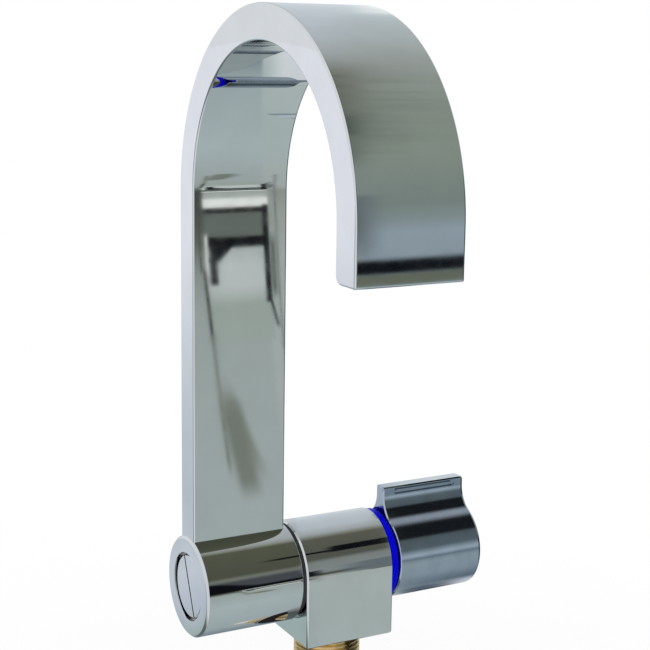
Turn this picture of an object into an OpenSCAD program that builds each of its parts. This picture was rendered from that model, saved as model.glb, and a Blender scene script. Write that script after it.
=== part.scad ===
// Folding caravan tap: a flat arched spout that folds down about a level barrel,
// a block that stands on the worktop, and a quarter-turn knob with a switch cam.
// The origin is where the shank's axis meets the worktop. +Z is up, +X runs along
// the pivot axis towards the knob, and the spout arches towards -Y.

/* [Body] */
// Diameter shared by the body's round top and the spout's barrel
body_d = 32; // [31.5:0.5:36]
// Length of the body along the pivot axis
body_len = 31.4; // [31:0.2:38]
// Height of the barrel's underside above the worktop
barrel_clear = 5.6; // [5:0.1:10]
// Chamfer round both end profiles of the body
body_chamfer = 0.9; // [0.4:0.1:1.4]

/* [Barrel] */
// How far the barrel runs past the bar's right edge
barrel_shoulder = 1.8; // [1.2:0.1:4]
// Gap between the barrel and the body, which the thrust washer fills
seam_gap = 0.7; // [0.6:0.1:1.4]
// Chamfer at both ends of the barrel
barrel_chamfer = 0.7; // [0.3:0.1:1.2]
// Radial play of the barrel's bore over the spigot, which the O-rings close
bore_play = 0.4; // [0.35:0.01:0.5]
// Gap round the retaining screw's head
recess_play = 0.5; // [0.3:0.1:0.8]

/* [Spout] */
// Width of the flat bar
spout_w = 31.2; // [26:0.2:32]
// Thickness of the flat bar
spout_t = 9.8; // [9:0.1:11]
// Outer radius of the arch
arch_r = 54.2; // [48:0.2:65]
// Height of the arch's centre above the pivot axis
arch_rise = 124; // [110:1:140]
// Length of the straight leg below the arch's centre
leg_len = 13.6; // [12:0.2:20]
// How far the bar's rear face lies behind the pivot axis
post_back = 6; // [5.2:0.1:6.5]
// How far the bar's left edge lies inside the barrel's end
bar_inset = 0.6; // [0.3:0.1:1]
// Rounding along the bar's long edges
bar_edge_r = 1.2; // [0.6:0.1:2]
// Rounding of the leg's inner corner at the outlet
outlet_corner_r = 2.6; // [1.5:0.1:3]
// Wall of the bar beside the water channel
channel_side = 4.6; // [4.2:0.1:6]
// Wall of the bar in front of and behind the water channel
channel_face = 3; // [2.8:0.1:3.4]

/* [Outlet] */
// Rim of the bar beside the outlet insert
rim_side = 3.2; // [2.6:0.1:3.8]
// Rim of the bar in front of and behind the outlet insert
rim_face = 2.1; // [1.8:0.1:2.4]
// Height of the outlet insert
insert_h = 5; // [4:0.1:6]
// How far the insert sits above the rim
insert_inset = 0.6; // [0.3:0.1:1]
// Diameter of each outlet hole
jet_d = 1.7; // [1.2:0.1:2]
// Spacing of the outlet holes
jet_pitch = 2.5; // [2.2:0.1:3]

/* [Pivot] */
// Diameter of the hollow pivot spigot
spigot_d = 16; // [15.4:0.1:16]
// Diameter of the spigot's threaded root
spigot_root_d = 14; // [13:0.1:14.6]
// Length of the spigot's threaded root
spigot_root_len = 8; // [7:0.1:8]
// Waterway through the spigot
spigot_bore_d = 7; // [5:0.1:7.5]
// Diameter of the retaining screw's slotted head
retainer_d = 20.6; // [20:0.1:20.8]
// Thickness of the retaining screw's head
retainer_t = 2.6; // [2.2:0.1:3]
// How far the head is sunk below the barrel's end
retainer_inset = 0.6; // [0.3:0.1:1]
// Width of the screwdriver slot
slot_w = 1.1; // [0.8:0.1:1.6]
// Depth of the screwdriver slot
slot_depth = 1.2; // [0.8:0.1:1.5]
// Lean of the slot from upright, in degrees
slot_lean = 23; // [0:1:45]
// Diameter of the retaining screw's stud
retainer_stud_d = 6; // [5:0.5:7]
// Length of the retaining screw's stud
retainer_stud_len = 7; // [5:0.5:7.5]
// Thickness of the friction washer under the head
friction_washer_t = 0.5; // [0.3:0.1:0.8]
// Length of each bush in the barrel
bush_len = 4; // [3:0.5:5]
// Wall of each bush
bush_wall = 1.1; // [0.9:0.1:1.3]
// Width of the groove that carries water round the spigot
port_groove_w = 7; // [5:0.5:8]
// Thickness of the pivot O-rings
pivot_ring_t = 1.7; // [1.5:0.1:1.8]

/* [Knob] */
// Diameter of the knob
knob_d = 29.5; // [28:0.5:31]
// Length of the knob
knob_len = 31; // [26:0.5:34]
// Gap between the body and the knob
knob_gap = 4.3; // [3.4:0.1:6]
// Height of the fin's top above the knob's axis
fin_top = 23.8; // [21:0.1:25]
// Width of the fin's flat top
fin_w = 4.6; // [3.6:0.1:5.4]
// Rounding of the knob's far edge
knob_edge_r = 1.2; // [0.6:0.1:2]
// Wall of the knob's skirt
knob_wall = 2.2; // [1.6:0.1:2.6]
// Depth of the hollow in the knob
knob_hollow = 14; // [10:0.5:17]
// Wall of the knob's hub round the spindle
hub_wall = 2.3; // [2:0.1:2.6]
// Land at each end of the long groove in the fin's front face
groove_end = 3.2; // [2.6:0.1:5]
// Width of the long groove in the fin's front face
groove_w = 2; // [1.4:0.1:2.4]
// Diameter of the knob's grub screw
grub_d = 4; // [3:0.5:4]

/* [Cold ring] */
// How far the blue ring's rim lies inside the body's
ring_step = 0.5; // [0.3:0.1:1]
// Visible width of the blue ring
ring_w = 2.3; // [1.8:0.1:2.6]
// Depth of the ring's lip inside the body
ring_lip = 1.8; // [1:0.1:2]

/* [Cartridge] */
// Diameter of the cartridge
cartridge_d = 18.4; // [18:0.1:18.6]
// Wall between the spigot's seat and the cartridge's seat
core_web = 1.4; // [1:0.1:2]
// Room between the cartridge and the blue ring's face for the cam and the pump switch
cam_room = 5.5; // [5.2:0.1:6]
// Thickness of the cartridge seal
seal_t = 1.6; // [1.2:0.1:1.8]
// Diameter of the ceramic discs
disc_d = 14.8; // [14:0.1:15]
// Thickness of each ceramic disc
disc_t = 2.4; // [2:0.1:2.6]
// Diameter of the spindle
spindle_d = 8; // [7:0.1:8.4]
// Thickness of the spindle's drive flange
spindle_flange_t = 2.2; // [1.8:0.1:2.4]
// How far the spindle reaches into the knob
spindle_reach = 9; // [7:0.5:12]
// Thickness of the nut that holds the cartridge
gland_t = 1.8; // [1.4:0.1:2]

/* [Pump switch] */
// Thickness of the switch case along the pivot axis
switch_t = 2.8; // [2.4:0.1:3]
// Length of the switch case across the tap
switch_l = 8.2; // [7:0.1:8.4]
// Height of the switch case
switch_h = 5.8; // [5:0.1:5.9]
// Wall of the cam where it meets the plunger with the tap shut
cam_wall = 0.9; // [0.8:0.1:1.2]
// How far the plunger is pushed over a quarter turn
plunger_travel = 1; // [0.6:0.1:1.2]
// Thickness of the cam
cam_t = 1.6; // [1.2:0.1:2]
// Diameter of the plunger
plunger_d = 1.6; // [1.2:0.1:1.8]

/* [Below the worktop] */
// Thickness of the worktop that is clamped
worktop_t = 18; // [10:1:28]
// Outer diameter of the threaded shank
shank_d = 22; // [21.5:0.1:22.5]
// Length of the shank below the worktop's top face
shank_len = 46; // [44:1:60]
// Wall of the shank
shank_wall = 1.8; // [1.6:0.1:1.9]
// Depth of the shank's neck in the body
neck_depth = 5; // [4.6:0.1:5.4]
// Diameter of the inlet tail's push-fit stem
tail_d = 12; // [11.8:0.1:12]
// Wall of the inlet tail's stem
tail_wall = 2; // [1.8:0.1:2.4]
// Length of the push-fit stem
stem_len = 23; // [20:1:40]
// How far the stem's stop lies below the shank
stop_drop = 1; // [0.6:0.1:3]
// How far the stem's stop stands out from it
stop_step = 0.6; // [0.5:0.1:0.8]
// Diameter of the clamp washers
washer_d = 34; // [32:0.5:40]
// Thickness of the steel clamp washer
steel_washer_t = 1.5; // [1:0.1:2]
// Thickness of the rubber clamp washer
rubber_washer_t = 2; // [1.5:0.1:3]
// Wall of the backnut at its flats
nut_wall = 3; // [2.5:0.1:4]
// Height of the backnut
nut_h = 8; // [6:0.5:10]
// Width of the foot seal's band round the shank
foot_seal_w = 3.2; // [2.4:0.1:3.8]
// Thickness of the foot seal
foot_seal_t = 1.4; // [1:0.1:1.8]

/* [Clearances] */
// Radial play of a shaft that turns in its bore
run_gap = 0.05; // [0.03:0.01:0.1]
// Play between faces that slide on each other
face_gap = 0.05; // [0.02:0.01:0.08]
// Gap round a piece that is dropped into its seat
seat_gap = 0.1; // [0.05:0.01:0.15]
// Gap round a piece that grips its seat
grip_gap = 0.02; // [0.01:0.01:0.04]

/* [Hidden] */
$fn = 96;

// Overlap of a cutting tool past the face that it cuts
past = 1;

// Colours of the pieces
chrome = [0.80, 0.82, 0.82];
dark_chrome = [0.55, 0.60, 0.64];
brass = [0.78, 0.64, 0.36];
steel = [0.66, 0.67, 0.68];
rubber = [0.10, 0.10, 0.11];
white_plastic = [0.92, 0.92, 0.90];
black_plastic = [0.16, 0.16, 0.18];
ceramic = [0.88, 0.86, 0.80];
blue = [0.02, 0.04, 0.75];

// Places along the pivot axis, from the barrel's end to the knob's end
body_r = body_d / 2;
axis_h = body_r + barrel_clear;
barrel_len = bar_inset + spout_w + barrel_shoulder;
body_x1 = body_len / 2;
body_x0 = -body_x1;
barrel_x1 = body_x0 - seam_gap;
barrel_x0 = barrel_x1 - barrel_len;
knob_x0 = body_x1 + knob_gap;
knob_x1 = knob_x0 + knob_len;

// The pivot: head, friction washer, bushes, spigot and O-rings
recess_r = retainer_d / 2 + recess_play;
retainer_x0 = barrel_x0 + retainer_inset;
retainer_x1 = retainer_x0 + retainer_t;
recess_floor_x = retainer_x1 + friction_washer_t + face_gap;
spigot_r = spigot_d / 2;
bush_bore_r = spigot_r + run_gap;
bush_r = bush_bore_r + bush_wall;
bore_r = spigot_r + bore_play;
port_x = (barrel_x0 + barrel_x1) / 2;
port_land = 0.3;
port_r = port_groove_w / 2 - port_land;
spigot_groove_depth = 1.4;
groove_floor_r = spigot_r - spigot_groove_depth;
ring_groove_w = pivot_ring_t + 4 * seat_gap;
ring_land = 1;
ring_offset = port_groove_w / 2 + ring_land + ring_groove_w / 2;
spigot_root_x = body_x0 + spigot_root_len;
bore_overrun = 0.6;
spigot_bore_x0 = port_x - port_r - bore_overrun;
washer_inset = 0.5;

// The bar's path
spout_x = barrel_x0 + bar_inset + spout_w / 2;
post_y = post_back - spout_t / 2;
arch_mid_r = arch_r - spout_t / 2;
arch_y = post_y - arch_mid_r;
arch_z = axis_h + arch_rise;
leg_y = arch_y - arch_mid_r;
outlet_z = arch_z - leg_len;
insert_w = spout_w - 2 * rim_side;
insert_t = spout_t - 2 * rim_face;
channel_w = spout_w - 2 * channel_side;
channel_t = spout_t - 2 * channel_face;
insert_z0 = outlet_z + insert_inset;
outlet_seal_t = 1;
insert_top_z = insert_z0 + insert_h;
pocket_top_z = insert_top_z + outlet_seal_t;
jet_count = floor((channel_w - jet_d) / jet_pitch) + 1;

// The cartridge, from its seat towards the knob
seat_x = spigot_root_x + core_web;
cartridge_r = cartridge_d / 2;
cartridge_bore_r = cartridge_r + seat_gap;
fixed_disc_x = seat_x + seal_t;
rotating_disc_x = fixed_disc_x + disc_t + face_gap;
flange_x = rotating_disc_x + disc_t;
flange_x1 = flange_x + spindle_flange_t;
disc_r = disc_d / 2;
cup_r = disc_r + seat_gap;
cup_floor_x = flange_x1 + face_gap;
spindle_r = spindle_d / 2;
gland_x1 = body_x1 - cam_room;
gland_x0 = gland_x1 - gland_t;
gland_rim = 1.1;
gland_r = cartridge_r + gland_rim;
waterway_r = 3;
gallery_depth = 0.9;
gallery_r = cartridge_r + gallery_depth;
gallery_x0 = (fixed_disc_x + rotating_disc_x) / 2;
gallery_x1 = (flange_x + cup_floor_x) / 2;
shaft_ring_t = 1.2;
shaft_ring_x = (cup_floor_x + gland_x0) / 2;
shaft_ring_depth = 0.5;
shaft_ring_room = 0.72;
seal_land = 0.8;
port_hole_r = 1.6;
port_place = 0.45;
notch_r = 2.6;
notch_place = 0.7;
spindle_x1 = knob_x0 + spindle_reach;

// The cam and the pump switch below it
cam_r = spindle_r + cam_wall;
cam_gap = 0.8;
cam_x0 = gland_x1 + cam_gap;
cam_mid_x = cam_x0 + cam_t / 2;
switch_x0 = cam_mid_x - switch_t / 2;
plunger_stand = 2.6;
switch_top_z = axis_h - cam_r - plunger_travel - plunger_stand;
switch_z0 = switch_top_z - switch_h;
plunger_play = 0.12;
plunger_top_z = axis_h - cam_r - plunger_play;
plunger_guide = 0.6;
plunger_foot_z = switch_top_z - plunger_travel - plunger_guide;
cam_lead = 20;
quarter_turn = 90;
cam_rise_per_degree = plunger_travel / quarter_turn;
cam_step = 3;
cam_recess_r = gland_r + seat_gap;
terminal_t = 0.6;
terminal_w = 2;
terminal_reach = 3;
terminal_rise = 0.9;
terminal_z = switch_z0 + terminal_rise;
terminal_y = switch_l / 4;
wireway_x0 = switch_x0 - terminal_reach - 2 * seat_gap;
wireway_h = 2 * terminal_rise + terminal_t;
lip_step = 0.6;
lip_wall = 1.4;
lip_r = cam_recess_r + lip_step + lip_wall;
lip_x = body_x1 - ring_lip;
ring_r = body_r - ring_step;

// The knob
knob_r = knob_d / 2;
fin_half = fin_w / 2;
flank_bite = 0.06;
flank_r = (fin_half * fin_half + fin_top * fin_top - knob_r * knob_r) / (2 * (knob_r - fin_half));
hub_r = spindle_r + hub_wall;
hub_play = 0.5;
hub_x0 = body_x1 + ring_w + hub_play;
spindle_hole_r = spindle_r + grip_gap;
spindle_end_gap = 0.3;
grub_inset = 3;
grub_x = knob_x0 + spindle_reach - grub_inset;
grub_len = hub_r - spindle_r - 2 * seat_gap;
grub_access_d = grub_d + 4 * seat_gap;
// lean of the grub screw, below and behind, where a hand doesn't feel it
grub_lean = 35;
groove_drop = 2.4;
groove_mid_z = fin_top - groove_drop;
groove_depth = 0.9;
groove_len = knob_len - knob_edge_r / 2 - 2 * groove_end;
ring_hole_r = hub_r + hub_play;

// Below the worktop
shank_r = shank_d / 2;
neck_step = 0.6;
neck_r = shank_r - neck_step;
shank_bore_r = shank_r - shank_wall;
tail_r = tail_d / 2;
tail_bore_r = tail_r - tail_wall;
core_r = tail_r + stop_step;
stop_z = -shank_len - stop_drop;
tail_z0 = stop_z - stem_len;
spigot_len = 4;
tail_seat_z = neck_depth + spigot_len;
tail_top_z = tail_seat_z - seat_gap;
ledge_step = 0.7;
ledge_r = core_r + ledge_step;
collar_step = 1;
collar_r = ledge_r + collar_step;
collar_t = 2;
collar_z0 = neck_depth - collar_t;
ledge_t = 2;
ledge_z0 = collar_z0 - ledge_t;
wire_x = (core_r + shank_bore_r) / 2;
wire_r = 0.8;
tail_ring_t = 1;
tail_ring_z = neck_depth + spigot_len / 2;
tail_ring_room = 0.65;
grommet_t = 5;
rubber_washer_z = -worktop_t - rubber_washer_t;
steel_washer_z = rubber_washer_z - steel_washer_t;
nut_z = steel_washer_z - nut_h;
nut_flange_h = 1.8;
nut_flange_rim = 1;
nut_across = 2 * (shank_r + nut_wall) / cos(30);
foot_recess_r = shank_r + foot_seal_w;

// A round bar along the pivot axis, from x0 to x1
module rod(x0, x1, r) {
    translate([x0, 0, axis_h]) rotate([0, 90, 0]) cylinder(h = x1 - x0, r = r);
}

// A turned piece on the pivot axis, from points that give radius and place along X
module turned(points) {
    translate([0, 0, axis_h]) rotate([0, 90, 0]) rotate_extrude() polygon(points);
}

// A flat ring on the pivot axis
module ring_x(x0, x1, r_in, r_out) {
    turned([[r_in, x0], [r_out, x0], [r_out, x1], [r_in, x1]]);
}

// A flat ring on the shank's axis
module ring_z(z0, z1, r_in, r_out) {
    difference() {
        translate([0, 0, z0]) cylinder(h = z1 - z0, r = r_out);
        translate([0, 0, z0 - past]) cylinder(h = z1 - z0 + 2 * past, r = r_in);
    }
}

// A round-section ring on the pivot axis, given its inner radius
module o_ring_x(x, r_in, thick) {
    translate([x, 0, axis_h]) rotate([0, 90, 0]) rotate_extrude()
        translate([r_in + thick / 2, 0]) circle(d = thick, $fn = 32);
}

// A rectangle with round corners, centred
module rounded_rect(w, h, r) {
    square([w - 2 * r, h], center = true);
    square([w, h - 2 * r], center = true);
    for (sx = [-1, 1], sy = [-1, 1])
        translate([sx * (w / 2 - r), sy * (h / 2 - r)]) circle(r = r, $fn = 32);
}

// A section carried up the post, over the arch and down the leg
module swept_bar(wide, thick, edge, foot_z, end_z) {
    translate([spout_x, post_y, foot_z])
        linear_extrude(arch_z - foot_z) rounded_rect(wide, thick, edge);
    translate([spout_x, arch_y, arch_z]) rotate([90, 0, 90]) rotate_extrude(angle = 180)
        translate([arch_mid_r, 0]) rounded_rect(thick, wide, edge);
    translate([spout_x, leg_y, end_z])
        linear_extrude(arch_z - end_z) rounded_rect(wide, thick, edge);
}

// The body's outside: a round top on a square block, with chamfered ends
module body_outside() {
    c = body_chamfer;
    turned([[0, body_x0], [body_r - c, body_x0], [body_r, body_x0 + c],
        [body_r, body_x1 - c], [body_r - c, body_x1], [0, body_x1]]);
    linear_extrude(axis_h) polygon([[body_x0, c - body_r], [body_x0 + c, -body_r],
        [body_x1 - c, -body_r], [body_x1, c - body_r], [body_x1, body_r - c],
        [body_x1 - c, body_r], [body_x0 + c, body_r], [body_x0, body_r - c]]);
}

module body_block() {
    color(chrome) difference() {
        body_outside();
        // seat of the pivot spigot and the waterway to it
        rod(body_x0 - past, spigot_root_x, spigot_root_d / 2);
        rod(spigot_root_x - past, seat_x + past, waterway_r);
        // seat of the cartridge, its gallery, the cam's recess and the ring's lip
        rod(seat_x, body_x1 + past, cartridge_bore_r);
        rod(gallery_x0, gallery_x1, gallery_r);
        rod(gland_x0, body_x1 + past, cam_recess_r);
        rod(lip_x, body_x1 + past, lip_r);
        // pocket of the pump switch and the way out for its wires
        translate([switch_x0 - seat_gap, -switch_l / 2 - seat_gap, switch_z0])
            cube([body_x1 + past - switch_x0, switch_l + 2 * seat_gap, switch_h]);
        translate([wireway_x0, -terminal_y - terminal_w, switch_z0])
            cube([switch_x0 - wireway_x0, 2 * (terminal_y + terminal_w), wireway_h]);
        translate([wire_x, 0, 0]) cylinder(h = switch_z0 + past, r = wire_r);
        // inlet, the tail's seat and the shank's neck
        translate([0, 0, neck_depth]) cylinder(h = axis_h - cartridge_r - neck_depth, r = waterway_r);
        translate([0, 0, neck_depth - past]) cylinder(h = tail_seat_z - neck_depth + past, r = tail_r + run_gap);
        translate([0, 0, -past]) cylinder(h = neck_depth + past, r = neck_r + run_gap);
        // recess of the foot seal
        translate([0, 0, -past]) cylinder(h = foot_seal_t + past, r = foot_recess_r);
    }
}

module foot_seal() {
    color(rubber) ring_z(0, foot_seal_t, shank_r + seat_gap / 2, foot_recess_r - seat_gap / 2);
}

module threaded_shank() {
    color(brass) difference() {
        union() {
            translate([0, 0, -shank_len]) cylinder(h = shank_len + foot_seal_t, r = shank_r);
            cylinder(h = neck_depth, r = neck_r);
        }
        translate([0, 0, -shank_len - past]) cylinder(h = shank_len + ledge_z0 + past, r = shank_bore_r);
        translate([0, 0, -past]) cylinder(h = neck_depth + 2 * past, r = ledge_r);
        translate([0, 0, collar_z0]) cylinder(h = collar_t + past, r = collar_r + run_gap);
        translate([wire_x, 0, -past]) cylinder(h = neck_depth + 2 * past, r = wire_r);
    }
}

module rubber_washer() {
    color(rubber) ring_z(rubber_washer_z, -worktop_t, shank_r + 2 * seat_gap, washer_d / 2);
}

module clamp_washer() {
    color(steel) ring_z(steel_washer_z, rubber_washer_z, shank_r + 2 * seat_gap, washer_d / 2);
}

module backnut() {
    color(brass) difference() {
        union() {
            translate([0, 0, nut_z]) cylinder(h = nut_h, d = nut_across, $fn = 6);
            translate([0, 0, steel_washer_z - nut_flange_h])
                cylinder(h = nut_flange_h, d = nut_across + nut_flange_rim);
        }
        translate([0, 0, nut_z - past]) cylinder(h = nut_h + 2 * past, r = shank_r + run_gap);
    }
}

module inlet_tail() {
    color(white_plastic) difference() {
        union() {
            translate([0, 0, tail_z0]) cylinder(h = tail_top_z - tail_z0, r = tail_r);
            translate([0, 0, stop_z]) cylinder(h = collar_z0 - stop_z, r = core_r);
            translate([0, 0, collar_z0]) cylinder(h = collar_t, r = collar_r);
        }
        translate([0, 0, tail_z0 - past]) cylinder(h = tail_top_z - tail_z0 + 2 * past, r = tail_bore_r);
        ring_z(tail_ring_z - tail_ring_room, tail_ring_z + tail_ring_room, tail_r - tail_ring_t, tail_r + past);
        translate([wire_x, 0, collar_z0 - past]) cylinder(h = collar_t + 2 * past, r = wire_r);
    }
}

module tail_o_ring() {
    color(rubber) translate([0, 0, tail_ring_z]) rotate_extrude()
        translate([tail_r - tail_ring_t / 2, 0]) circle(d = tail_ring_t - 2 * grip_gap, $fn = 32);
}

module cable_grommet() {
    color(rubber) difference() {
        ring_z(-shank_len, grommet_t - shank_len, core_r + run_gap, shank_bore_r - run_gap);
        translate([wire_x, 0, -shank_len - past]) cylinder(h = grommet_t + 2 * past, r = wire_r);
    }
}

module pivot_spigot() {
    color(brass) difference() {
        union() {
            rod(retainer_x1, body_x0, spigot_r);
            rod(body_x0 - past, spigot_root_x, spigot_root_d / 2 - run_gap / 2);
        }
        rod(spigot_bore_x0, spigot_root_x + past, spigot_bore_d / 2);
        rod(retainer_x1 - past, retainer_x1 + retainer_stud_len + 4 * seat_gap, retainer_stud_d / 2 + grip_gap);
        ring_x(port_x - port_groove_w / 2, port_x + port_groove_w / 2, groove_floor_r, spigot_r + past);
        for (side = [-1, 1])
            ring_x(port_x + side * ring_offset - ring_groove_w / 2, port_x + side * ring_offset + ring_groove_w / 2,
                groove_floor_r, spigot_r + past);
        translate([port_x, 0, axis_h - spigot_d]) cylinder(h = 2 * spigot_d, r = port_r);
    }
}

module spigot_o_rings() {
    color(rubber) for (side = [-1, 1])
        o_ring_x(port_x + side * ring_offset, groove_floor_r + grip_gap, pivot_ring_t);
}

module thrust_washer() {
    color(black_plastic)
        ring_x(barrel_x1 + face_gap, body_x0, spigot_r + 2 * seat_gap, body_r - barrel_chamfer - washer_inset);
}

module retaining_screw() {
    c = 0.4;
    color(chrome) difference() {
        union() {
            turned([[0, retainer_x0], [retainer_d / 2 - c, retainer_x0], [retainer_d / 2, retainer_x0 + c],
                [retainer_d / 2, retainer_x1], [0, retainer_x1]]);
            rod(retainer_x1 - past, retainer_x1 + retainer_stud_len, retainer_stud_d / 2);
        }
        translate([retainer_x0, 0, axis_h]) rotate([-slot_lean, 0, 0])
            cube([2 * slot_depth, slot_w, 2 * retainer_d], center = true);
    }
}

module friction_washer() {
    color(white_plastic)
        ring_x(retainer_x1, retainer_x1 + friction_washer_t, spigot_r + seat_gap, retainer_d / 2 - 2 * seat_gap);
}

module cold_ring() {
    color(blue) difference() {
        union() {
            rod(body_x1, body_x1 + ring_w, ring_r);
            ring_x(lip_x, body_x1 + ring_w / 2, cam_recess_r + lip_step, lip_r - run_gap);
        }
        rod(body_x1 - past, body_x1 + ring_w + past, ring_hole_r);
    }
}

module cartridge_body() {
    color(brass) difference() {
        rod(fixed_disc_x, gland_x0, cartridge_r);
        rod(fixed_disc_x - past, cup_floor_x, cup_r);
        rod(cup_floor_x - past, gland_x0 + past, spindle_r + run_gap);
        ring_x(shaft_ring_x - shaft_ring_room, shaft_ring_x + shaft_ring_room, spindle_r - past,
            spindle_r + shaft_ring_t);
        // four windows where the water comes in at the turning disc's rim
        for (turn = [0, 90, 180, 270])
            translate([0, 0, axis_h]) rotate([turn, 0, 0])
                translate([rotating_disc_x, -waterway_r, 0])
                    cube([disc_t - 2 * seat_gap, 2 * waterway_r, cartridge_d]);
    }
}

module cartridge_seal() {
    color(rubber) ring_x(seat_x, fixed_disc_x, waterway_r + seal_land, cartridge_r - seal_land / 2);
}

module fixed_disc() {
    color(ceramic) difference() {
        rod(fixed_disc_x, fixed_disc_x + disc_t, disc_r);
        for (side = [-1, 1])
            translate([fixed_disc_x - past, side * disc_r * port_place, axis_h]) rotate([0, 90, 0])
                cylinder(h = disc_t + 2 * past, r = port_hole_r);
    }
}

module cartridge_nut() {
    color(brass) difference() {
        rod(gland_x0, gland_x1, gland_r);
        rod(gland_x0 - past, gland_x1 + past, spindle_r + 4 * seat_gap);
        // two notches for a pin spanner
        for (side = [-1, 1])
            translate([gland_x1, side * gland_r, axis_h]) cube([gland_t, 3.2, 2.4], center = true);
    }
}

module switch_case() {
    color(black_plastic) difference() {
        translate([switch_x0, -switch_l / 2, switch_z0]) cube([switch_t, switch_l, switch_h]);
        translate([cam_mid_x, 0, plunger_foot_z - plunger_travel - 2 * seat_gap])
            cylinder(h = switch_h + past, d = plunger_d + 2 * seat_gap);
    }
}

module switch_terminals() {
    color(brass) for (side = [-1, 1])
        translate([switch_x0 - terminal_reach, side * terminal_y - terminal_w / 2, terminal_z])
            cube([terminal_reach, terminal_w, terminal_t]);
}

module switch_plunger() {
    color(white_plastic) translate([cam_mid_x, 0, plunger_foot_z])
        cylinder(h = plunger_top_z - plunger_foot_z, d = plunger_d);
}

module spout() {
    c = barrel_chamfer;
    color(chrome) difference() {
        union() {
            turned([[0, barrel_x0], [body_r - c, barrel_x0], [body_r, barrel_x0 + c],
                [body_r, barrel_x1 - c], [body_r - c, barrel_x1], [0, barrel_x1]]);
            swept_bar(spout_w, spout_t, bar_edge_r, axis_h, outlet_z);
        }
        // bore, the bushes' seats and the retaining screw's recess
        rod(barrel_x0 - past, barrel_x1 + past, bore_r);
        rod(recess_floor_x, recess_floor_x + bush_len, bush_r);
        rod(barrel_x1 - bush_len, barrel_x1 + past, bush_r);
        rod(barrel_x0 - past, recess_floor_x, recess_r);
        // water channel and the pocket at the outlet
        swept_bar(channel_w, channel_t, 0.5, axis_h, outlet_z - past);
        translate([spout_x, leg_y, outlet_z - past])
            linear_extrude(pocket_top_z - outlet_z + past) rounded_rect(insert_w + seat_gap, insert_t + seat_gap, 1);
        // rounded inner corner of the leg
        translate([spout_x - spout_w, leg_y + spout_t / 2 - outlet_corner_r, outlet_z]) difference() {
            translate([0, 0, -past]) cube([2 * spout_w, outlet_corner_r + past, outlet_corner_r + past]);
            translate([-past, 0, outlet_corner_r]) rotate([0, 90, 0])
                cylinder(h = 2 * spout_w + 2 * past, r = outlet_corner_r);
        }
    }
}

module spout_bushes() {
    color(white_plastic) {
        ring_x(recess_floor_x, recess_floor_x + bush_len, bush_bore_r, bush_r - grip_gap);
        ring_x(barrel_x1 - bush_len, barrel_x1, bush_bore_r, bush_r - grip_gap);
    }
}

module outlet_insert() {
    color(black_plastic) difference() {
        translate([spout_x, leg_y, insert_z0]) linear_extrude(insert_h) rounded_rect(insert_w, insert_t, 1);
        for (k = [0 : jet_count - 1])
            translate([spout_x + (k - (jet_count - 1) / 2) * jet_pitch, leg_y, insert_z0 - past])
                cylinder(h = insert_h + 2 * past, d = jet_d, $fn = 32);
    }
}

module outlet_seal() {
    color(rubber) difference() {
        translate([spout_x, leg_y, insert_top_z]) linear_extrude(outlet_seal_t) rounded_rect(insert_w, insert_t, 1);
        translate([spout_x, leg_y, insert_top_z - past])
            linear_extrude(outlet_seal_t + 2 * past) rounded_rect(channel_w, channel_t, 0.5);
    }
}

// The knob's outline, with Y across: a round grip and a fin with hollow flanks
module knob_outline() {
    reach = knob_r / (knob_r + flank_r);
    circle(r = knob_r);
    difference() {
        polygon([[-(fin_half + flank_r) * reach, fin_top * reach], [-fin_half - flank_r, fin_top],
            [fin_half + flank_r, fin_top], [(fin_half + flank_r) * reach, fin_top * reach], [0, 0]]);
        for (side = [-1, 1])
            translate([side * (fin_half + flank_r), fin_top]) circle(r = flank_r + flank_bite, $fn = 128);
    }
}

module knob() {
    e = knob_edge_r;
    color(dark_chrome) difference() {
        union() {
            translate([knob_x0, 0, axis_h]) rotate([90, 0, 90]) linear_extrude(knob_len - e) knob_outline();
            // the far end of the round grip, with a rounded edge
            turned([[0, knob_x1 - e - past], [knob_r - e / 3, knob_x1 - e - past], [knob_r - e / 3, knob_x1 - e],
                [knob_r - e, knob_x1], [0, knob_x1]]);
            rod(hub_x0, knob_x0 + knob_hollow + past, hub_r);
        }
        // the hollow round the hub
        ring_x(knob_x0 - past, knob_x0 + knob_hollow, hub_r, knob_r - knob_wall);
        // bore for the spindle and the grub screw's hole
        rod(hub_x0 - past, spindle_x1 + spindle_end_gap, spindle_hole_r);
        rotate_about_axis(grub_lean) translate([grub_x, 0, axis_h - knob_r - past])
            cylinder(h = knob_r + past, d = grub_access_d);
        // long groove in the fin's front face
        translate([knob_x0 + (knob_len - e / 2) / 2, -fin_half - groove_depth / 4, axis_h + groove_mid_z])
            rotate([90, 0, 0]) translate([0, 0, -groove_depth / 2])
                linear_extrude(groove_depth + past) long_oval(groove_len, groove_w);
    }
}

// Turns what follows about the pivot axis
module rotate_about_axis(a) {
    translate([0, 0, axis_h]) rotate([a, 0, 0]) translate([0, 0, -axis_h]) children();
}

// A slot shape with round ends, centred and lying along X
module long_oval(len, w) {
    square([len - w, w], center = true);
    for (side = [-1, 1]) translate([side * (len - w) / 2, 0]) circle(d = w, $fn = 32);
}

module knob_grub_screw() {
    color(steel) rotate_about_axis(grub_lean) difference() {
        translate([grub_x, 0, axis_h - hub_r]) cylinder(h = grub_len, d = grub_d);
        translate([grub_x, 0, axis_h - hub_r - past]) cylinder(h = grub_len / 2 + past, d = grub_d / 2, $fn = 6);
    }
}

module spindle() {
    color(brass) difference() {
        union() {
            rod(flange_x, flange_x1, disc_r - seat_gap);
            rod(flange_x, spindle_x1, spindle_r);
        }
        ring_x(shaft_ring_x - shaft_ring_room, shaft_ring_x + shaft_ring_room, spindle_r - shaft_ring_depth,
            spindle_r + past);
    }
}

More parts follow.
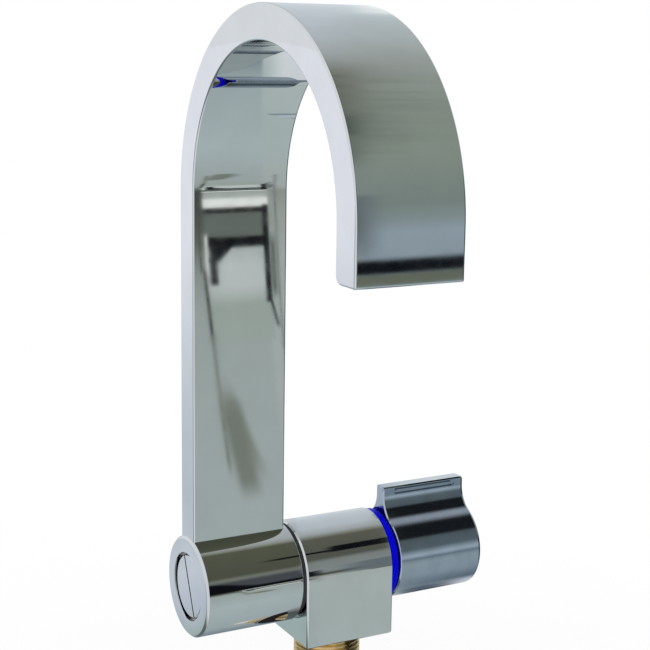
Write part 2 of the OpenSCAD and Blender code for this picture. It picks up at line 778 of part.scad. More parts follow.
module spindle_o_ring() {
    color(rubber) o_ring_x(shaft_ring_x, spindle_r - shaft_ring_depth + grip_gap, shaft_ring_t);
}

module rotating_disc() {
    color(ceramic) difference() {
        rod(rotating_disc_x, flange_x, disc_r - seat_gap);
        // two notches that are open at the rim
        for (side = [-1, 1])
            translate([rotating_disc_x - past, 0, axis_h + side * disc_r * notch_place]) rotate([0, 90, 0])
                cylinder(h = disc_t + 2 * past, r = notch_r);
    }
}

// Radius of the cam at an angle past the plunger, in degrees: it rises evenly and then drops back
function cam_radius(turn) = cam_r + cam_rise_per_degree * (turn <= quarter_turn + cam_lead ? turn : -cam_lead);

module switch_cam() {
    color(white_plastic) difference() {
        translate([cam_x0, 0, axis_h]) rotate([90, 0, 90]) linear_extrude(cam_t)
            polygon([for (turn = [-cam_lead : cam_step : 360 - cam_lead - cam_step])
                cam_radius(turn) * [cos(-90 - turn), sin(-90 - turn)]]);
        rod(cam_x0 - past, cam_x0 + cam_t + past, spindle_hole_r);
    }
}

body_block();
foot_seal();
threaded_shank();
rubber_washer();
clamp_washer();
backnut();
inlet_tail();
tail_o_ring();
cable_grommet();
pivot_spigot();
spigot_o_rings();
thrust_washer();
retaining_screw();
friction_washer();
cold_ring();
cartridge_body();
cartridge_seal();
fixed_disc();
cartridge_nut();
switch_case();
switch_terminals();
switch_plunger();
spout();
spout_bushes();
outlet_insert();
outlet_seal();
knob();
knob_grub_screw();
spindle();
spindle_o_ring();
rotating_disc();
switch_cam();
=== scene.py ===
"""Looks of a folding caravan tap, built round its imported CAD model.

Meshes are shaped in millimetres in the CAD frame and scaled once, when a piece is placed:
+Z is up out of the worktop, +X runs along the pivot axis towards the knob, and the spout
arches towards -Y.
"""

import logging
import math
from dataclasses import dataclass
from enum import Enum
from typing import Callable, Optional, Sequence

import bmesh
import bpy
from bmesh.types import BMEdge, BMesh, BMFace, BMVert
from mathutils import Matrix, Vector

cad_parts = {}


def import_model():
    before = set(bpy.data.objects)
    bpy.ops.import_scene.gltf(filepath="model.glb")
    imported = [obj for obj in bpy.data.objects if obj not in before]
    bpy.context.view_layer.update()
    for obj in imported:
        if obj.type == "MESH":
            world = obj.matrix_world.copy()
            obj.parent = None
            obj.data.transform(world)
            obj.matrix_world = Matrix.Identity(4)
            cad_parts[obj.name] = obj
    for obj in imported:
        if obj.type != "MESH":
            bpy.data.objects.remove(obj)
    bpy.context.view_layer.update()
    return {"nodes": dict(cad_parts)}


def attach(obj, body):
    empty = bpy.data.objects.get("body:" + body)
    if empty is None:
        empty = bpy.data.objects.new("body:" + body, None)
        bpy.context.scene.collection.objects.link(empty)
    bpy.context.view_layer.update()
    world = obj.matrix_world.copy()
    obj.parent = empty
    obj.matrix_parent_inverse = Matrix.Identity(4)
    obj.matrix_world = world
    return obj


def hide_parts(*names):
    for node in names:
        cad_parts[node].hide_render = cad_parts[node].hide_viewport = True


LOG = logging.getLogger("tap")
MILLIMETRE = 0.001
AXIS_HEIGHT = 21.6
BODY_RADIUS = 16.0
ARCH_Y = -48.2
ARCH_Z = 145.6
ARCH_OUTER_RADIUS = 54.2
CUT_PAST = 1.0
MERGE_DISTANCE = 0.001
NEAR = 0.01
SMOOTH_ANGLE = math.radians(38)

Colour = tuple[float, float, float]
Pair = tuple[float, float]
Profile = Sequence[Pair]
Socket = bpy.types.NodeSocket


class TurnLine(Enum):
    """The two lines about which the tap's round pieces are turned."""

    PIVOT = "pivot"
    SHANK = "shank"

    @property
    def centre(self) -> Vector:
        """A point on the line, in millimetres."""
        return Vector((0, 0, AXIS_HEIGHT)) if self is TurnLine.PIVOT else Vector()

    @property
    def direction(self) -> Vector:
        """The way along the line."""
        return Vector((1, 0, 0)) if self is TurnLine.PIVOT else Vector((0, 0, 1))

    def point(self, place: float, radius: float) -> Vector:
        """Gives the point at a place along the line and a radius from it."""
        if self is TurnLine.PIVOT:
            return Vector((place, 0, AXIS_HEIGHT + radius))
        return Vector((radius, 0, place))


class Joining(Enum):
    """How a second solid acts on a first."""

    ADD = "UNION"
    CUT = "DIFFERENCE"
    KEEP_COMMON = "INTERSECT"


def tidy(bm: BMesh) -> BMesh:
    """Merges doubles and turns all faces outwards.

    Args:
        bm: The mesh, which is changed in place.

    Returns:
        The same mesh.
    """
    bmesh.ops.remove_doubles(bm, verts=bm.verts, dist=MERGE_DISTANCE)
    bmesh.ops.dissolve_degenerate(bm, edges=bm.edges, dist=MERGE_DISTANCE)
    bmesh.ops.recalc_face_normals(bm, faces=bm.faces)
    return bm


def turned(profile: Profile, line: TurnLine, steps: int = 144) -> BMesh:
    """Spins a profile once round a line.

    Args:
        profile: Pairs of place along the line and radius. It closes on itself unless both
            ends lie on the line.
        line: The line to spin about.
        steps: How many steps the full turn has.

    Returns:
        A closed mesh.
    """
    bm = bmesh.new()
    points = [bm.verts.new(line.point(place, radius)) for place, radius in profile]
    edges = [bm.edges.new(pair) for pair in zip(points, points[1:])]
    if profile[0][1] > 0 or profile[-1][1] > 0:
        edges.append(bm.edges.new((points[-1], points[0])))
    bmesh.ops.spin(bm, geom=[*points, *edges], cent=line.centre, axis=line.direction,
                   angle=math.tau, steps=steps, use_merge=True)
    return tidy(bm)


def stepped(start: float, steps: Profile) -> list[Pair]:
    """Gives the profile of a bore or boss whose radius changes in steps.

    Args:
        start: Where it begins along its line.
        steps: Pairs of a step's far end and its radius.

    Returns:
        The profile, which starts and ends on the line.
    """
    profile = [(start, 0.0)]
    for end, radius in steps:
        profile += [(profile[-1][0], radius), (end, radius)]
    return [*profile, (profile[-1][0], 0.0)]


def block(low: Sequence[float], high: Sequence[float]) -> BMesh:
    """Makes a box between two corners.

    Args:
        low: The lowest corner.
        high: The highest corner.

    Returns:
        The box as a mesh.
    """
    size = Vector(high) - Vector(low)
    middle = (Vector(high) + Vector(low)) / 2
    bm = bmesh.new()
    shape = Matrix.Translation(middle) @ Matrix.Diagonal((*size, 1))
    bmesh.ops.create_cube(bm, size=1, matrix=shape)
    return bm


def drawn(bm: BMesh, faces: list[BMFace], way: Sequence[float]) -> list[BMFace]:
    """Draws faces out along a vector.

    Args:
        bm: The mesh.
        faces: The faces that are drawn out.
        way: How far they move.

    Returns:
        The faces at the far end.
    """
    out = bmesh.ops.extrude_face_region(bm, geom=faces)["geom"]
    bmesh.ops.translate(bm, vec=way, verts=[item for item in out if isinstance(item, BMVert)])
    return [item for item in out if isinstance(item, BMFace)]


def lean_over(bm: BMesh, x: float, angle: float) -> None:
    """Turns a mesh by degrees about X, and moves it onto the pivot axis at x."""
    turn = Matrix.Translation((x, 0, AXIS_HEIGHT)) @ Matrix.Rotation(math.radians(angle), 4, "X")
    bmesh.ops.transform(bm, matrix=turn, verts=bm.verts)


def round_off(bm: BMesh, edges: list[BMEdge], width: float, segments: int) -> None:
    """Rounds edges to a width, in a number of steps."""
    bmesh.ops.bevel(bm, geom=edges, offset=width, offset_type="OFFSET", segments=segments,
                    profile=0.5, affect="EDGES", clamp_overlap=True, material=-1)


def soften(bm: BMesh, width: float, segments: int = 3, sharper_than: float = 28.0,
           only: Optional[Callable[[BMEdge], bool]] = None) -> BMesh:
    """Rounds the edges at which two faces meet sharply.

    Args:
        bm: The mesh, which is changed in place.
        width: Width of the rounding.
        segments: Steps across the rounding.
        sharper_than: Smallest angle between the faces, in degrees.
        only: A test that an edge has to pass too.

    Returns:
        The same mesh.
    """
    limit = math.radians(sharper_than)
    edges = [edge for edge in bm.edges if len(edge.link_faces) == 2
             and edge.calc_face_angle() > limit and (only is None or only(edge))]
    round_off(bm, edges, width, segments)
    return bm


def to_object(bm: BMesh, name: str) -> bpy.types.Object:
    """Moves a mesh into a new object in the scene.

    Args:
        bm: The mesh, which is freed.
        name: The object's name.

    Returns:
        The object.
    """
    mesh = bpy.data.meshes.new(name)
    bm.to_mesh(mesh)
    bm.free()
    made = bpy.data.objects.new(name, mesh)
    bpy.context.scene.collection.objects.link(made)
    return made


def joined(first: BMesh, second: BMesh, how: Joining) -> BMesh:
    """Adds one solid to another, or cuts it away.

    Args:
        first: The solid that is changed. It is freed.
        second: The solid that acts on it. It is freed.
        how: What the second one does.

    Returns:
        The new solid.
    """
    base, tool = to_object(first, "joined_first"), to_object(second, "joined_second")
    modifier = base.modifiers.new("join", "BOOLEAN")
    modifier.object, modifier.operation, modifier.solver = tool, how.value, "EXACT"
    evaluated = base.evaluated_get(bpy.context.evaluated_depsgraph_get())
    made = bmesh.new()
    made.from_mesh(evaluated.to_mesh())
    evaluated.to_mesh_clear()
    for used in (base, tool):
        mesh = used.data
        bpy.data.objects.remove(used)
        bpy.data.meshes.remove(mesh)
    return made


class Wiring:
    """Adds shader nodes to a node tree and links them."""

    def __init__(self, tree: bpy.types.NodeTree) -> None:
        """Empties the tree."""
        self.tree = tree
        tree.nodes.clear()

    def add(self, kind: str, inputs: Optional[dict] = None, **settings: object) -> bpy.types.Node:
        """Adds one node.

        Args:
            kind: The node's type.
            inputs: Values or sockets by the input's name or number.
            **settings: Properties of the node.

        Returns:
            The node.
        """
        node = self.tree.nodes.new(kind)
        for name, value in settings.items():
            setattr(node, name, value)
        for key, value in (inputs or {}).items():
            if isinstance(value, Socket):
                self.tree.links.new(value, node.inputs[key])
            else:
                node.inputs[key].default_value = value
        return node

    def parts(self, kind: str = "Object") -> bpy.types.NodeOutputs:
        """Gives X, Y and Z of one kind of texture coordinates."""
        place = self.add("ShaderNodeTexCoord").outputs[kind]
        return self.add("ShaderNodeSeparateXYZ", {0: place}).outputs

    def math(self, operation: str, *values: object) -> Socket:
        """Adds a Math node on one or two values or sockets and returns its result."""
        return self.add("ShaderNodeMath", dict(enumerate(values)), operation=operation).outputs[0]

    def times(self, first: object, second: object) -> Socket:
        """Multiplies two values."""
        return self.math("MULTIPLY", first, second)

    def minus(self, first: object, second: object) -> Socket:
        """Takes the second value from the first."""
        return self.math("SUBTRACT", first, second)

    def length(self, first: Socket, second: Socket) -> Socket:
        """Gives the length of a vector with two parts."""
        square = self.math("ADD", self.times(first, first), self.times(second, second))
        return self.math("SQRT", square)

    def ease(self, value: object, low: float, high: float, start: float = 0.0,
             end: float = 1.0) -> Socket:
        """Eases from start to end as a value goes from low to high.

        Args:
            value: The socket that is read.
            low: Where the change starts.
            high: Where it ends.
            start: The result below low.
            end: The result above high.

        Returns:
            The result's socket.
        """
        inputs = {"Value": value, "From Min": low, "From Max": high, "To Min": start, "To Max": end}
        return self.add("ShaderNodeMapRange", inputs, interpolation_type="SMOOTHSTEP").outputs[0]

    def mix(self, factor: object, first: object, second: object) -> Socket:
        """Mixes two colours and returns the result's socket."""
        inputs = {0: factor, 6: self.rgba(first), 7: self.rgba(second)}
        return self.add("ShaderNodeMix", inputs, data_type="RGBA").outputs[2]

    @staticmethod
    def rgba(colour: object) -> object:
        """Gives a plain colour its alpha, and passes a socket on."""
        return colour if isinstance(colour, Socket) else (*colour, 1.0)

    def ramp(self, factor: object, stops: Sequence[tuple[float, Colour]]) -> Socket:
        """Adds a colour ramp that runs evenly between its stops.

        Args:
            factor: The socket that is read.
            stops: Pairs of place, from 0 to 1, and colour, in rising order.

        Returns:
            The colour's socket.
        """
        node = self.add("ShaderNodeValToRGB", {0: factor})
        node.color_ramp.interpolation = "LINEAR"
        elements = node.color_ramp.elements
        for element, (place, colour) in zip(elements, (stops[0], stops[-1])):
            element.position, element.color = place, self.rgba(colour)
        for place, colour in stops[1:-1]:
            elements.new(place).color = self.rgba(colour)
        return node.outputs[0]

    def noise(self, stretch: Sequence[float], detail: float = 3.0) -> Socket:
        """Adds noise on Object coordinates.

        Args:
            stretch: Waves per metre along X, Y and Z.
            detail: The noise's detail.

        Returns:
            The noise's factor, from 0 to 1.
        """
        place = self.add("ShaderNodeTexCoord").outputs["Object"]
        sized = self.add("ShaderNodeMapping", {"Vector": place, "Scale": stretch}).outputs[0]
        inputs = {"Vector": sized, "Scale": 1.0, "Detail": detail, "Roughness": 0.5}
        return self.add("ShaderNodeTexNoise", inputs).outputs[0]

    def bump(self, height: object, depth: float, under: Optional[Socket] = None) -> Socket:
        """Adds a bump of a depth in millimetres over another one.

        Args:
            height: The height's socket, from 0 to 1.
            depth: How far the surface moves, in millimetres.
            under: The normal that the bump starts from.

        Returns:
            The normal's socket.
        """
        inputs = {"Strength": 1.0, "Distance": depth * MILLIMETRE, "Height": height}
        if under is not None:
            inputs["Normal"] = under
        return self.add("ShaderNodeBump", inputs).outputs[0]


def new_material(name: str) -> tuple[bpy.types.Material, Wiring]:
    """Makes a material, and the wiring of its empty node tree."""
    made = bpy.data.materials.new(name)
    made.use_nodes = True
    return made, Wiring(made.node_tree)


@dataclass(frozen=True)
class Finish:
    """A finish with slow colour drift, uneven gloss and a fine surface.

    Attributes:
        name: The material's name.
        colour: The base colour.
        roughness: The mean roughness.
        metallic: 1 for bare or plated metal.
        drift: How much darker the colour's patches are, as a share.
        drift_scale: Patches per metre.
        gloss_play: How far the roughness strays from its mean.
        grain: Waves per metre of the fine surface along X, Y and Z.
        grain_depth: Its depth in millimetres.
        ripple_depth: Depth of slow waves, as polishing leaves them, in millimetres.
        ripple_scale: Slow waves per metre.
        specular: The shader's specular level.
        subsurface: Weight of light that soaks in.
    """

    name: str
    colour: Colour
    roughness: float
    metallic: float = 0.0
    drift: float = 0.05
    drift_scale: float = 90.0
    gloss_play: float = 0.04
    grain: tuple[float, float, float] = (2400.0, 2400.0, 2400.0)
    grain_depth: float = 0.0008
    ripple_depth: float = 0.0
    ripple_scale: float = 70.0
    specular: float = 0.5
    subsurface: float = 0.0

    def material(self) -> bpy.types.Material:
        """Makes the material, or gives the one that was made before."""
        made = bpy.data.materials.get(self.label)
        if made is None:
            made, wiring = new_material(self.label)
            self.wire(wiring)
        return made

    @property
    def label(self) -> str:
        """The material's name in the file, which no material of the frame has."""
        return f"{self.name}_finish"

    def colour_of(self, wiring: Wiring) -> Socket:
        """Gives the base colour with its slow patches."""
        patches = wiring.noise((self.drift_scale,) * 3)
        darker = tuple(channel * (1 - self.drift) for channel in self.colour)
        return wiring.mix(wiring.ease(patches, 0.35, 0.7), self.colour, darker)

    def roughness_of(self, wiring: Wiring) -> Socket:
        """Gives the roughness with its play along the grain."""
        streaks = wiring.noise(tuple(wave / 12 for wave in self.grain), detail=4.0)
        low = max(self.roughness - self.gloss_play, 0.02)
        return wiring.ease(streaks, 0.3, 0.72, low, self.roughness + self.gloss_play)

    def normal_of(self, wiring: Wiring) -> Socket:
        """Gives the surface's normal, slow waves first and fine grain over them."""
        under = None
        if self.ripple_depth:
            waves = wiring.noise((self.ripple_scale,) * 3, detail=1.0)
            under = wiring.bump(waves, self.ripple_depth)
        return wiring.bump(wiring.noise(self.grain, detail=2.0), self.grain_depth, under)

    def wire(self, wiring: Wiring) -> None:
        """Builds the node tree."""
        inputs = {"Base Color": self.colour_of(wiring), "Roughness": self.roughness_of(wiring),
                  "Normal": self.normal_of(wiring), "Metallic": self.metallic,
                  "Specular IOR Level": self.specular, "Subsurface Weight": self.subsurface}
        shader = wiring.add("ShaderNodeBsdfPrincipled", inputs)
        wiring.add("ShaderNodeOutputMaterial", {"Surface": shader.outputs[0]})


@dataclass(frozen=True)
class TurnedFinish(Finish):
    """Bare metal with the fine rings that a lathe leaves.

    Attributes:
        feed: Rings per metre.
        ring_depth: Depth of the rings in millimetres.
    """

    feed: float = 4200.0
    ring_depth: float = 0.0015

    def normal_of(self, wiring: Wiring) -> Socket:
        """Adds the rings along X and Z to the fine surface."""
        rings = wiring.noise((self.feed, 12.0, self.feed), detail=1.0)
        return wiring.bump(rings, self.ring_depth, super().normal_of(wiring))


@dataclass(frozen=True)
class SpoutChrome(Finish):
    """Polished chrome whose outer face on the arch was only brushed.

    Attributes:
        fade: Heights between which polish turns to brushing.
        skin: Depths under the outer face between which brushing begins.
        satin: Roughness of the brushed face.
        satin_play: How far that roughness strays.
        brush_depth: Depth of its brushed lines in millimetres.
    """

    fade: Pair = (148.0, 176.0)
    skin: Pair = (0.9, 0.2)
    satin: float = 0.14
    satin_play: float = 0.03
    brush_depth: float = 0.0006

    def brushed(self, wiring: Wiring) -> Socket:
        """Gives 1 on the bar's outer face and 0 elsewhere."""
        parts = wiring.parts()
        across = wiring.minus(parts["Y"], ARCH_Y * MILLIMETRE)
        above = wiring.math("MAXIMUM", wiring.minus(parts["Z"], ARCH_Z * MILLIMETRE), 0.0)
        edges = ((ARCH_OUTER_RADIUS - depth) * MILLIMETRE for depth in self.skin)
        outside = wiring.ease(wiring.length(across, above), *edges)
        high = wiring.ease(parts["Z"], *(height * MILLIMETRE for height in self.fade))
        return wiring.times(outside, high)

    def roughness_of(self, wiring: Wiring) -> Socket:
        """Runs from polished to brushed on the outer face."""
        lines = wiring.noise((25.0, 700.0, 700.0), detail=4.0)
        satin = wiring.ease(lines, 0.3, 0.7, self.satin - self.satin_play,
                            self.satin + self.satin_play)
        polished = super().roughness_of(wiring)
        mask = self.brushed(wiring)
        return wiring.math("ADD", wiring.times(satin, mask),
                           wiring.times(polished, wiring.minus(1.0, mask)))

    def normal_of(self, wiring: Wiring) -> Socket:
        """Adds the brushed lines, which run across the bar, on the outer face."""
        lines = wiring.times(wiring.noise((30.0, 1600.0, 1600.0)), self.brushed(wiring))
        return wiring.bump(lines, self.brush_depth, super().normal_of(wiring))


CHROME = Finish("body_chrome", (0.68, 0.69, 0.69), 0.035, metallic=1.0, drift=0.04, gloss_play=0.012,
                grain_depth=0.00002, ripple_depth=0.003, ripple_scale=30.0)
SPOUT_CHROME = SpoutChrome("spout_chrome", (0.68, 0.69, 0.69), 0.026, metallic=1.0, drift=0.04,
                           gloss_play=0.006, grain_depth=0.000004, ripple_depth=0.0025, ripple_scale=14.0)
KNOB_CHROME = Finish("grip_chrome", (0.455, 0.505, 0.565), 0.12, metallic=1.0, drift=0.10, drift_scale=160.0,
                     grain=(120.0, 2600.0, 2600.0))
BLUE = Finish("blue_moulding", (0.0006, 0.0006, 0.60), 0.25, drift=0.12, gloss_play=0.05, grain_depth=0.0006,
              specular=0.03)
BRASS = TurnedFinish("turned_brass", (0.74, 0.55, 0.28), 0.24, metallic=1.0, drift=0.16, gloss_play=0.07)
STEEL = TurnedFinish("zinc_plated_steel", (0.62, 0.63, 0.64), 0.30, metallic=1.0, drift=0.12, gloss_play=0.08)
RUBBER = Finish("black_rubber", (0.022, 0.022, 0.024), 0.62, drift=0.25, gloss_play=0.10, grain_depth=0.004,
                specular=0.35)
WHITE_PLASTIC = Finish("white_plastic", (0.82, 0.82, 0.79), 0.38, drift=0.05, gloss_play=0.08,
                       grain_depth=0.002, subsurface=0.05)
BLACK_PLASTIC = Finish("black_plastic", (0.028, 0.028, 0.032), 0.42, drift=0.2, gloss_play=0.09,
                       grain_depth=0.003)
CERAMIC = Finish("lapped_ceramic", (0.80, 0.77, 0.70), 0.22, drift=0.05, gloss_play=0.04, grain_depth=0.0004)


def place_piece(bm: BMesh, name: str, finish: Finish, body: str, node: str) -> None:
    """Scales a finished mesh to metres, dresses it and hands it to its body.

    Args:
        bm: The mesh in millimetres. It is freed.
        name: The piece's name.
        finish: Its finish.
        body: The CAD body that it rides on.
        node: The CAD node that it stands for.
    """
    bmesh.ops.scale(bm, vec=(MILLIMETRE,) * 3, verts=bm.verts)
    bmesh.ops.recalc_face_normals(bm, faces=bm.faces)
    piece = to_object(bm, name)
    piece.data.shade_smooth()
    piece.data.set_sharp_from_angle(angle=SMOOTH_ANGLE)
    piece.data.materials.append(finish.material())
    weighted = piece.modifiers.new("even_shading", "WEIGHTED_NORMAL")
    weighted.keep_sharp = True
    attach(piece, body)
    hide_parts(node)
    faces = len(piece.data.polygons)
    LOG.info("%s rides on %s and stands for %s: %d faces", name, body, node, faces)


@dataclass
class Spout:
    """The spout: a flat bar on a level barrel, arched over to a short leg.

    Attributes are sizes in millimetres.
    """

    bar_width: float = 31.2
    bar_thickness: float = 9.8
    bar_middle: float = -33.8
    bar_edge: float = 0.6
    post_y: float = 1.1
    arch_steps: int = 96
    foot_rise: float = 12.0
    outlet_z: float = 132.0
    outlet_corner: float = 2.6
    pocket: tuple[float, float, float] = (24.9, 5.7, 6.6)
    pocket_corner: float = 1.0
    barrel: Pair = (-50.0, -17.0)
    chamfer: float = 0.7
    seam_edge: float = 0.2
    recess_radius: float = 10.8
    recess_floor: float = -46.25
    bush_radius: float = 9.15
    bush_length: float = 4.0
    bore_radius: float = 8.4
    step_edge: float = 0.12

    def bar(self) -> BMesh:
        """Makes the bar: a face that is drawn up, spun over the arch and drawn down."""
        bm = bmesh.new()
        foot = Vector((self.bar_middle, self.post_y, AXIS_HEIGHT + self.foot_rise))
        size = Matrix.Diagonal((self.bar_width, self.bar_thickness, 1, 1))
        bmesh.ops.create_grid(bm, x_segments=1, y_segments=1, size=0.5,
                              matrix=Matrix.Translation(foot) @ size)
        end = drawn(bm, bm.faces[:], (0, 0, ARCH_Z - foot.z))
        spun = bmesh.ops.spin(bm, geom=end, cent=(0, ARCH_Y, ARCH_Z), axis=(1, 0, 0),
                              angle=math.pi, steps=self.arch_steps)
        last = [item for item in spun["geom_last"] if isinstance(item, BMFace)]
        drawn(bm, last, (0, 0, self.outlet_z - ARCH_Z))
        inside = [face for face in bm.faces
                  if all(abs(vert.co.z - ARCH_Z) < MERGE_DISTANCE for vert in face.verts)]
        bmesh.ops.delete(bm, geom=inside, context="FACES_ONLY")
        tidy(bm)
        inner = 2 * ARCH_Y - (self.post_y - self.bar_thickness / 2)
        soften(bm, self.outlet_corner, segments=8, only=lambda edge: all(
            abs(vert.co.z - self.outlet_z) < MERGE_DISTANCE and abs(vert.co.y - inner) < NEAR
            for vert in edge.verts))
        return soften(bm, self.bar_edge, segments=5, sharper_than=60)

    def barrel_shell(self) -> BMesh:
        """Makes the barrel with its chamfers, bore, bush seats and recess."""
        x0, x1 = self.barrel
        floor, bush = self.recess_floor, self.bush_radius
        near, far = floor + self.bush_length, x1 - self.bush_length
        profile = [(x0, self.recess_radius), (x0, BODY_RADIUS - self.chamfer),
                   (x0 + self.chamfer, BODY_RADIUS), (x1 - self.seam_edge, BODY_RADIUS),
                   (x1, BODY_RADIUS - self.seam_edge), (x1, bush), (far, bush),
                   (far, self.bore_radius), (near, self.bore_radius), (near, bush), (floor, bush),
                   (floor, self.recess_radius)]
        return soften(turned(profile, TurnLine.PIVOT, steps=192), self.step_edge, segments=2)

    def outlet_pocket(self) -> BMesh:
        """Makes the cutter for the pocket that the outlet insert sits in."""
        width, depth, height = self.pocket
        leg_y = 2 * ARCH_Y - self.post_y
        cutter = block((self.bar_middle - width / 2, leg_y - depth / 2, self.outlet_z - CUT_PAST),
                       (self.bar_middle + width / 2, leg_y + depth / 2, self.outlet_z + height))
        upright = [edge for edge in cutter.edges
                   if abs(edge.verts[0].co.z - edge.verts[1].co.z) > MERGE_DISTANCE]
        round_off(cutter, upright, self.pocket_corner, 4)
        return cutter

    def build(self) -> None:
        """Makes and places the spout."""
        casting = joined(self.barrel_shell(), self.bar(), Joining.ADD)
        casting = joined(casting, self.outlet_pocket(), Joining.CUT)
        place_piece(casting, "spout_casting", SPOUT_CHROME, "spout", "spout")


@dataclass
class Body:
    """The block that stands on the worktop, with the barrel's retaining screw and the blue ring.

    Attributes are sizes in millimetres.
    """

    ends: Pair = (-15.7, 15.7)
    edge: float = 0.5
    arc_steps: int = 96
    ring: Pair = (15.7, 18.0)
    ring_radius: float = 15.5
    ring_hole: float = 6.8
    ring_edge: float = 0.25
    lip: tuple[float, float, float] = (13.9, 11.0, 12.35)
    spigot_seat: Pair = (-7.7, 7.0)
    waterway: Pair = (-6.3, 3.0)
    valve_seat: Pair = (8.4, 9.3)
    valve_nut_seat: Pair = (13.9, 10.4)
    lip_seat_radius: float = 12.4
    seal_seat: Pair = (1.4, 14.2)
    shank_seat: Pair = (5.0, 10.45)
    tail_seat: Pair = (9.0, 6.05)
    inlet: Pair = (12.9, 3.0)
    switch_seat: tuple[float, float, float, float] = (10.3, 4.2, 7.3, 13.1)
    screw: Pair = (-49.4, -46.8)
    screw_radius: float = 9.95
    screw_edge: float = 0.25
    screw_step: float = 0.14
    stud: Pair = (-39.8, 3.0)
    slot_width: float = 0.8
    slot_depth: float = 1.2
    slot_lean: float = 23.0

    def outline(self) -> BMesh:
        """Makes the block: a round top on straight sides, drawn along the pivot axis."""
        x0, x1 = self.ends
        bm = bmesh.new()
        start = bm.verts.new((x0, BODY_RADIUS, AXIS_HEIGHT))
        bmesh.ops.spin(bm, geom=[start], cent=(x0, 0, AXIS_HEIGHT), axis=(1, 0, 0), angle=math.pi,
                       steps=self.arc_steps)
        far = min(bm.verts, key=lambda vert: vert.co.y)
        feet = [bm.verts.new((x0, side * BODY_RADIUS, 0)) for side in (1, -1)]
        for pair in ((start, feet[0]), (feet[0], feet[1]), (feet[1], far)):
            bm.edges.new(pair)
        face = bmesh.ops.contextual_create(bm, geom=bm.edges[:])["faces"]
        drawn(bm, face, (x1 - x0, 0, 0))
        tidy(bm)
        return soften(bm, self.edge, segments=1, sharper_than=60)

    def bores(self) -> list[BMesh]:
        """Makes the cutters for what sits in the block, along the pivot axis and upwards."""
        x0, x1 = self.ends
        along = stepped(x0 - CUT_PAST, (
            self.spigot_seat, self.waterway, self.valve_seat, self.valve_nut_seat,
            (x1 + CUT_PAST, self.lip_seat_radius)))
        upwards = stepped(-CUT_PAST, (self.seal_seat, self.shank_seat, self.tail_seat, self.inlet))
        start, half, low, high = self.switch_seat
        return [turned(along, TurnLine.PIVOT, steps=96), turned(upwards, TurnLine.SHANK, steps=96),
                block((start, -half, low), (x1 + CUT_PAST, half, high))]

    def ring_shape(self) -> BMesh:
        """Makes the blue ring with the lip that locates it in the block."""
        x0, x1 = self.ring
        lip_x, lip_in, lip_out = self.lip
        profile = [(x0, self.ring_hole), (x1, self.ring_hole), (x1, self.ring_radius),
                   (x0, self.ring_radius), (x0, lip_out), (lip_x, lip_out), (lip_x, lip_in),
                   (x0, lip_in)]
        return soften(turned(profile, TurnLine.PIVOT), self.ring_edge)

    def screw_shape(self) -> BMesh:
        """Makes the slotted disc that holds the barrel on its spigot."""
        x0, x1 = self.screw
        stud_x, stud_radius = self.stud
        radius, edge = self.screw_radius, self.screw_edge
        profile = [(x0, 0), (x0, radius - edge), (x0 + edge, radius), (x1, radius),
                   (x1, stud_radius), (stud_x, stud_radius), (stud_x, 0)]
        slot = block((-CUT_PAST, -self.slot_width / 2, -2 * radius),
                     (self.slot_depth, self.slot_width / 2, 2 * radius))
        lean_over(slot, x0, -self.slot_lean)
        shape = joined(turned(profile, TurnLine.PIVOT), slot, Joining.CUT)
        return soften(shape, self.screw_step, segments=2)

    def build(self) -> None:
        """Makes and places the block, the screw and the ring."""
        shape = self.outline()
        for bore in self.bores():
            shape = joined(shape, bore, Joining.CUT)
        place_piece(shape, "body_casting", CHROME, "body", "body_block")
        place_piece(self.screw_shape(), "retaining_disc", CHROME, "body", "retaining_screw")
        place_piece(self.ring_shape(), "blue_ring", BLUE, "body", "cold_ring")


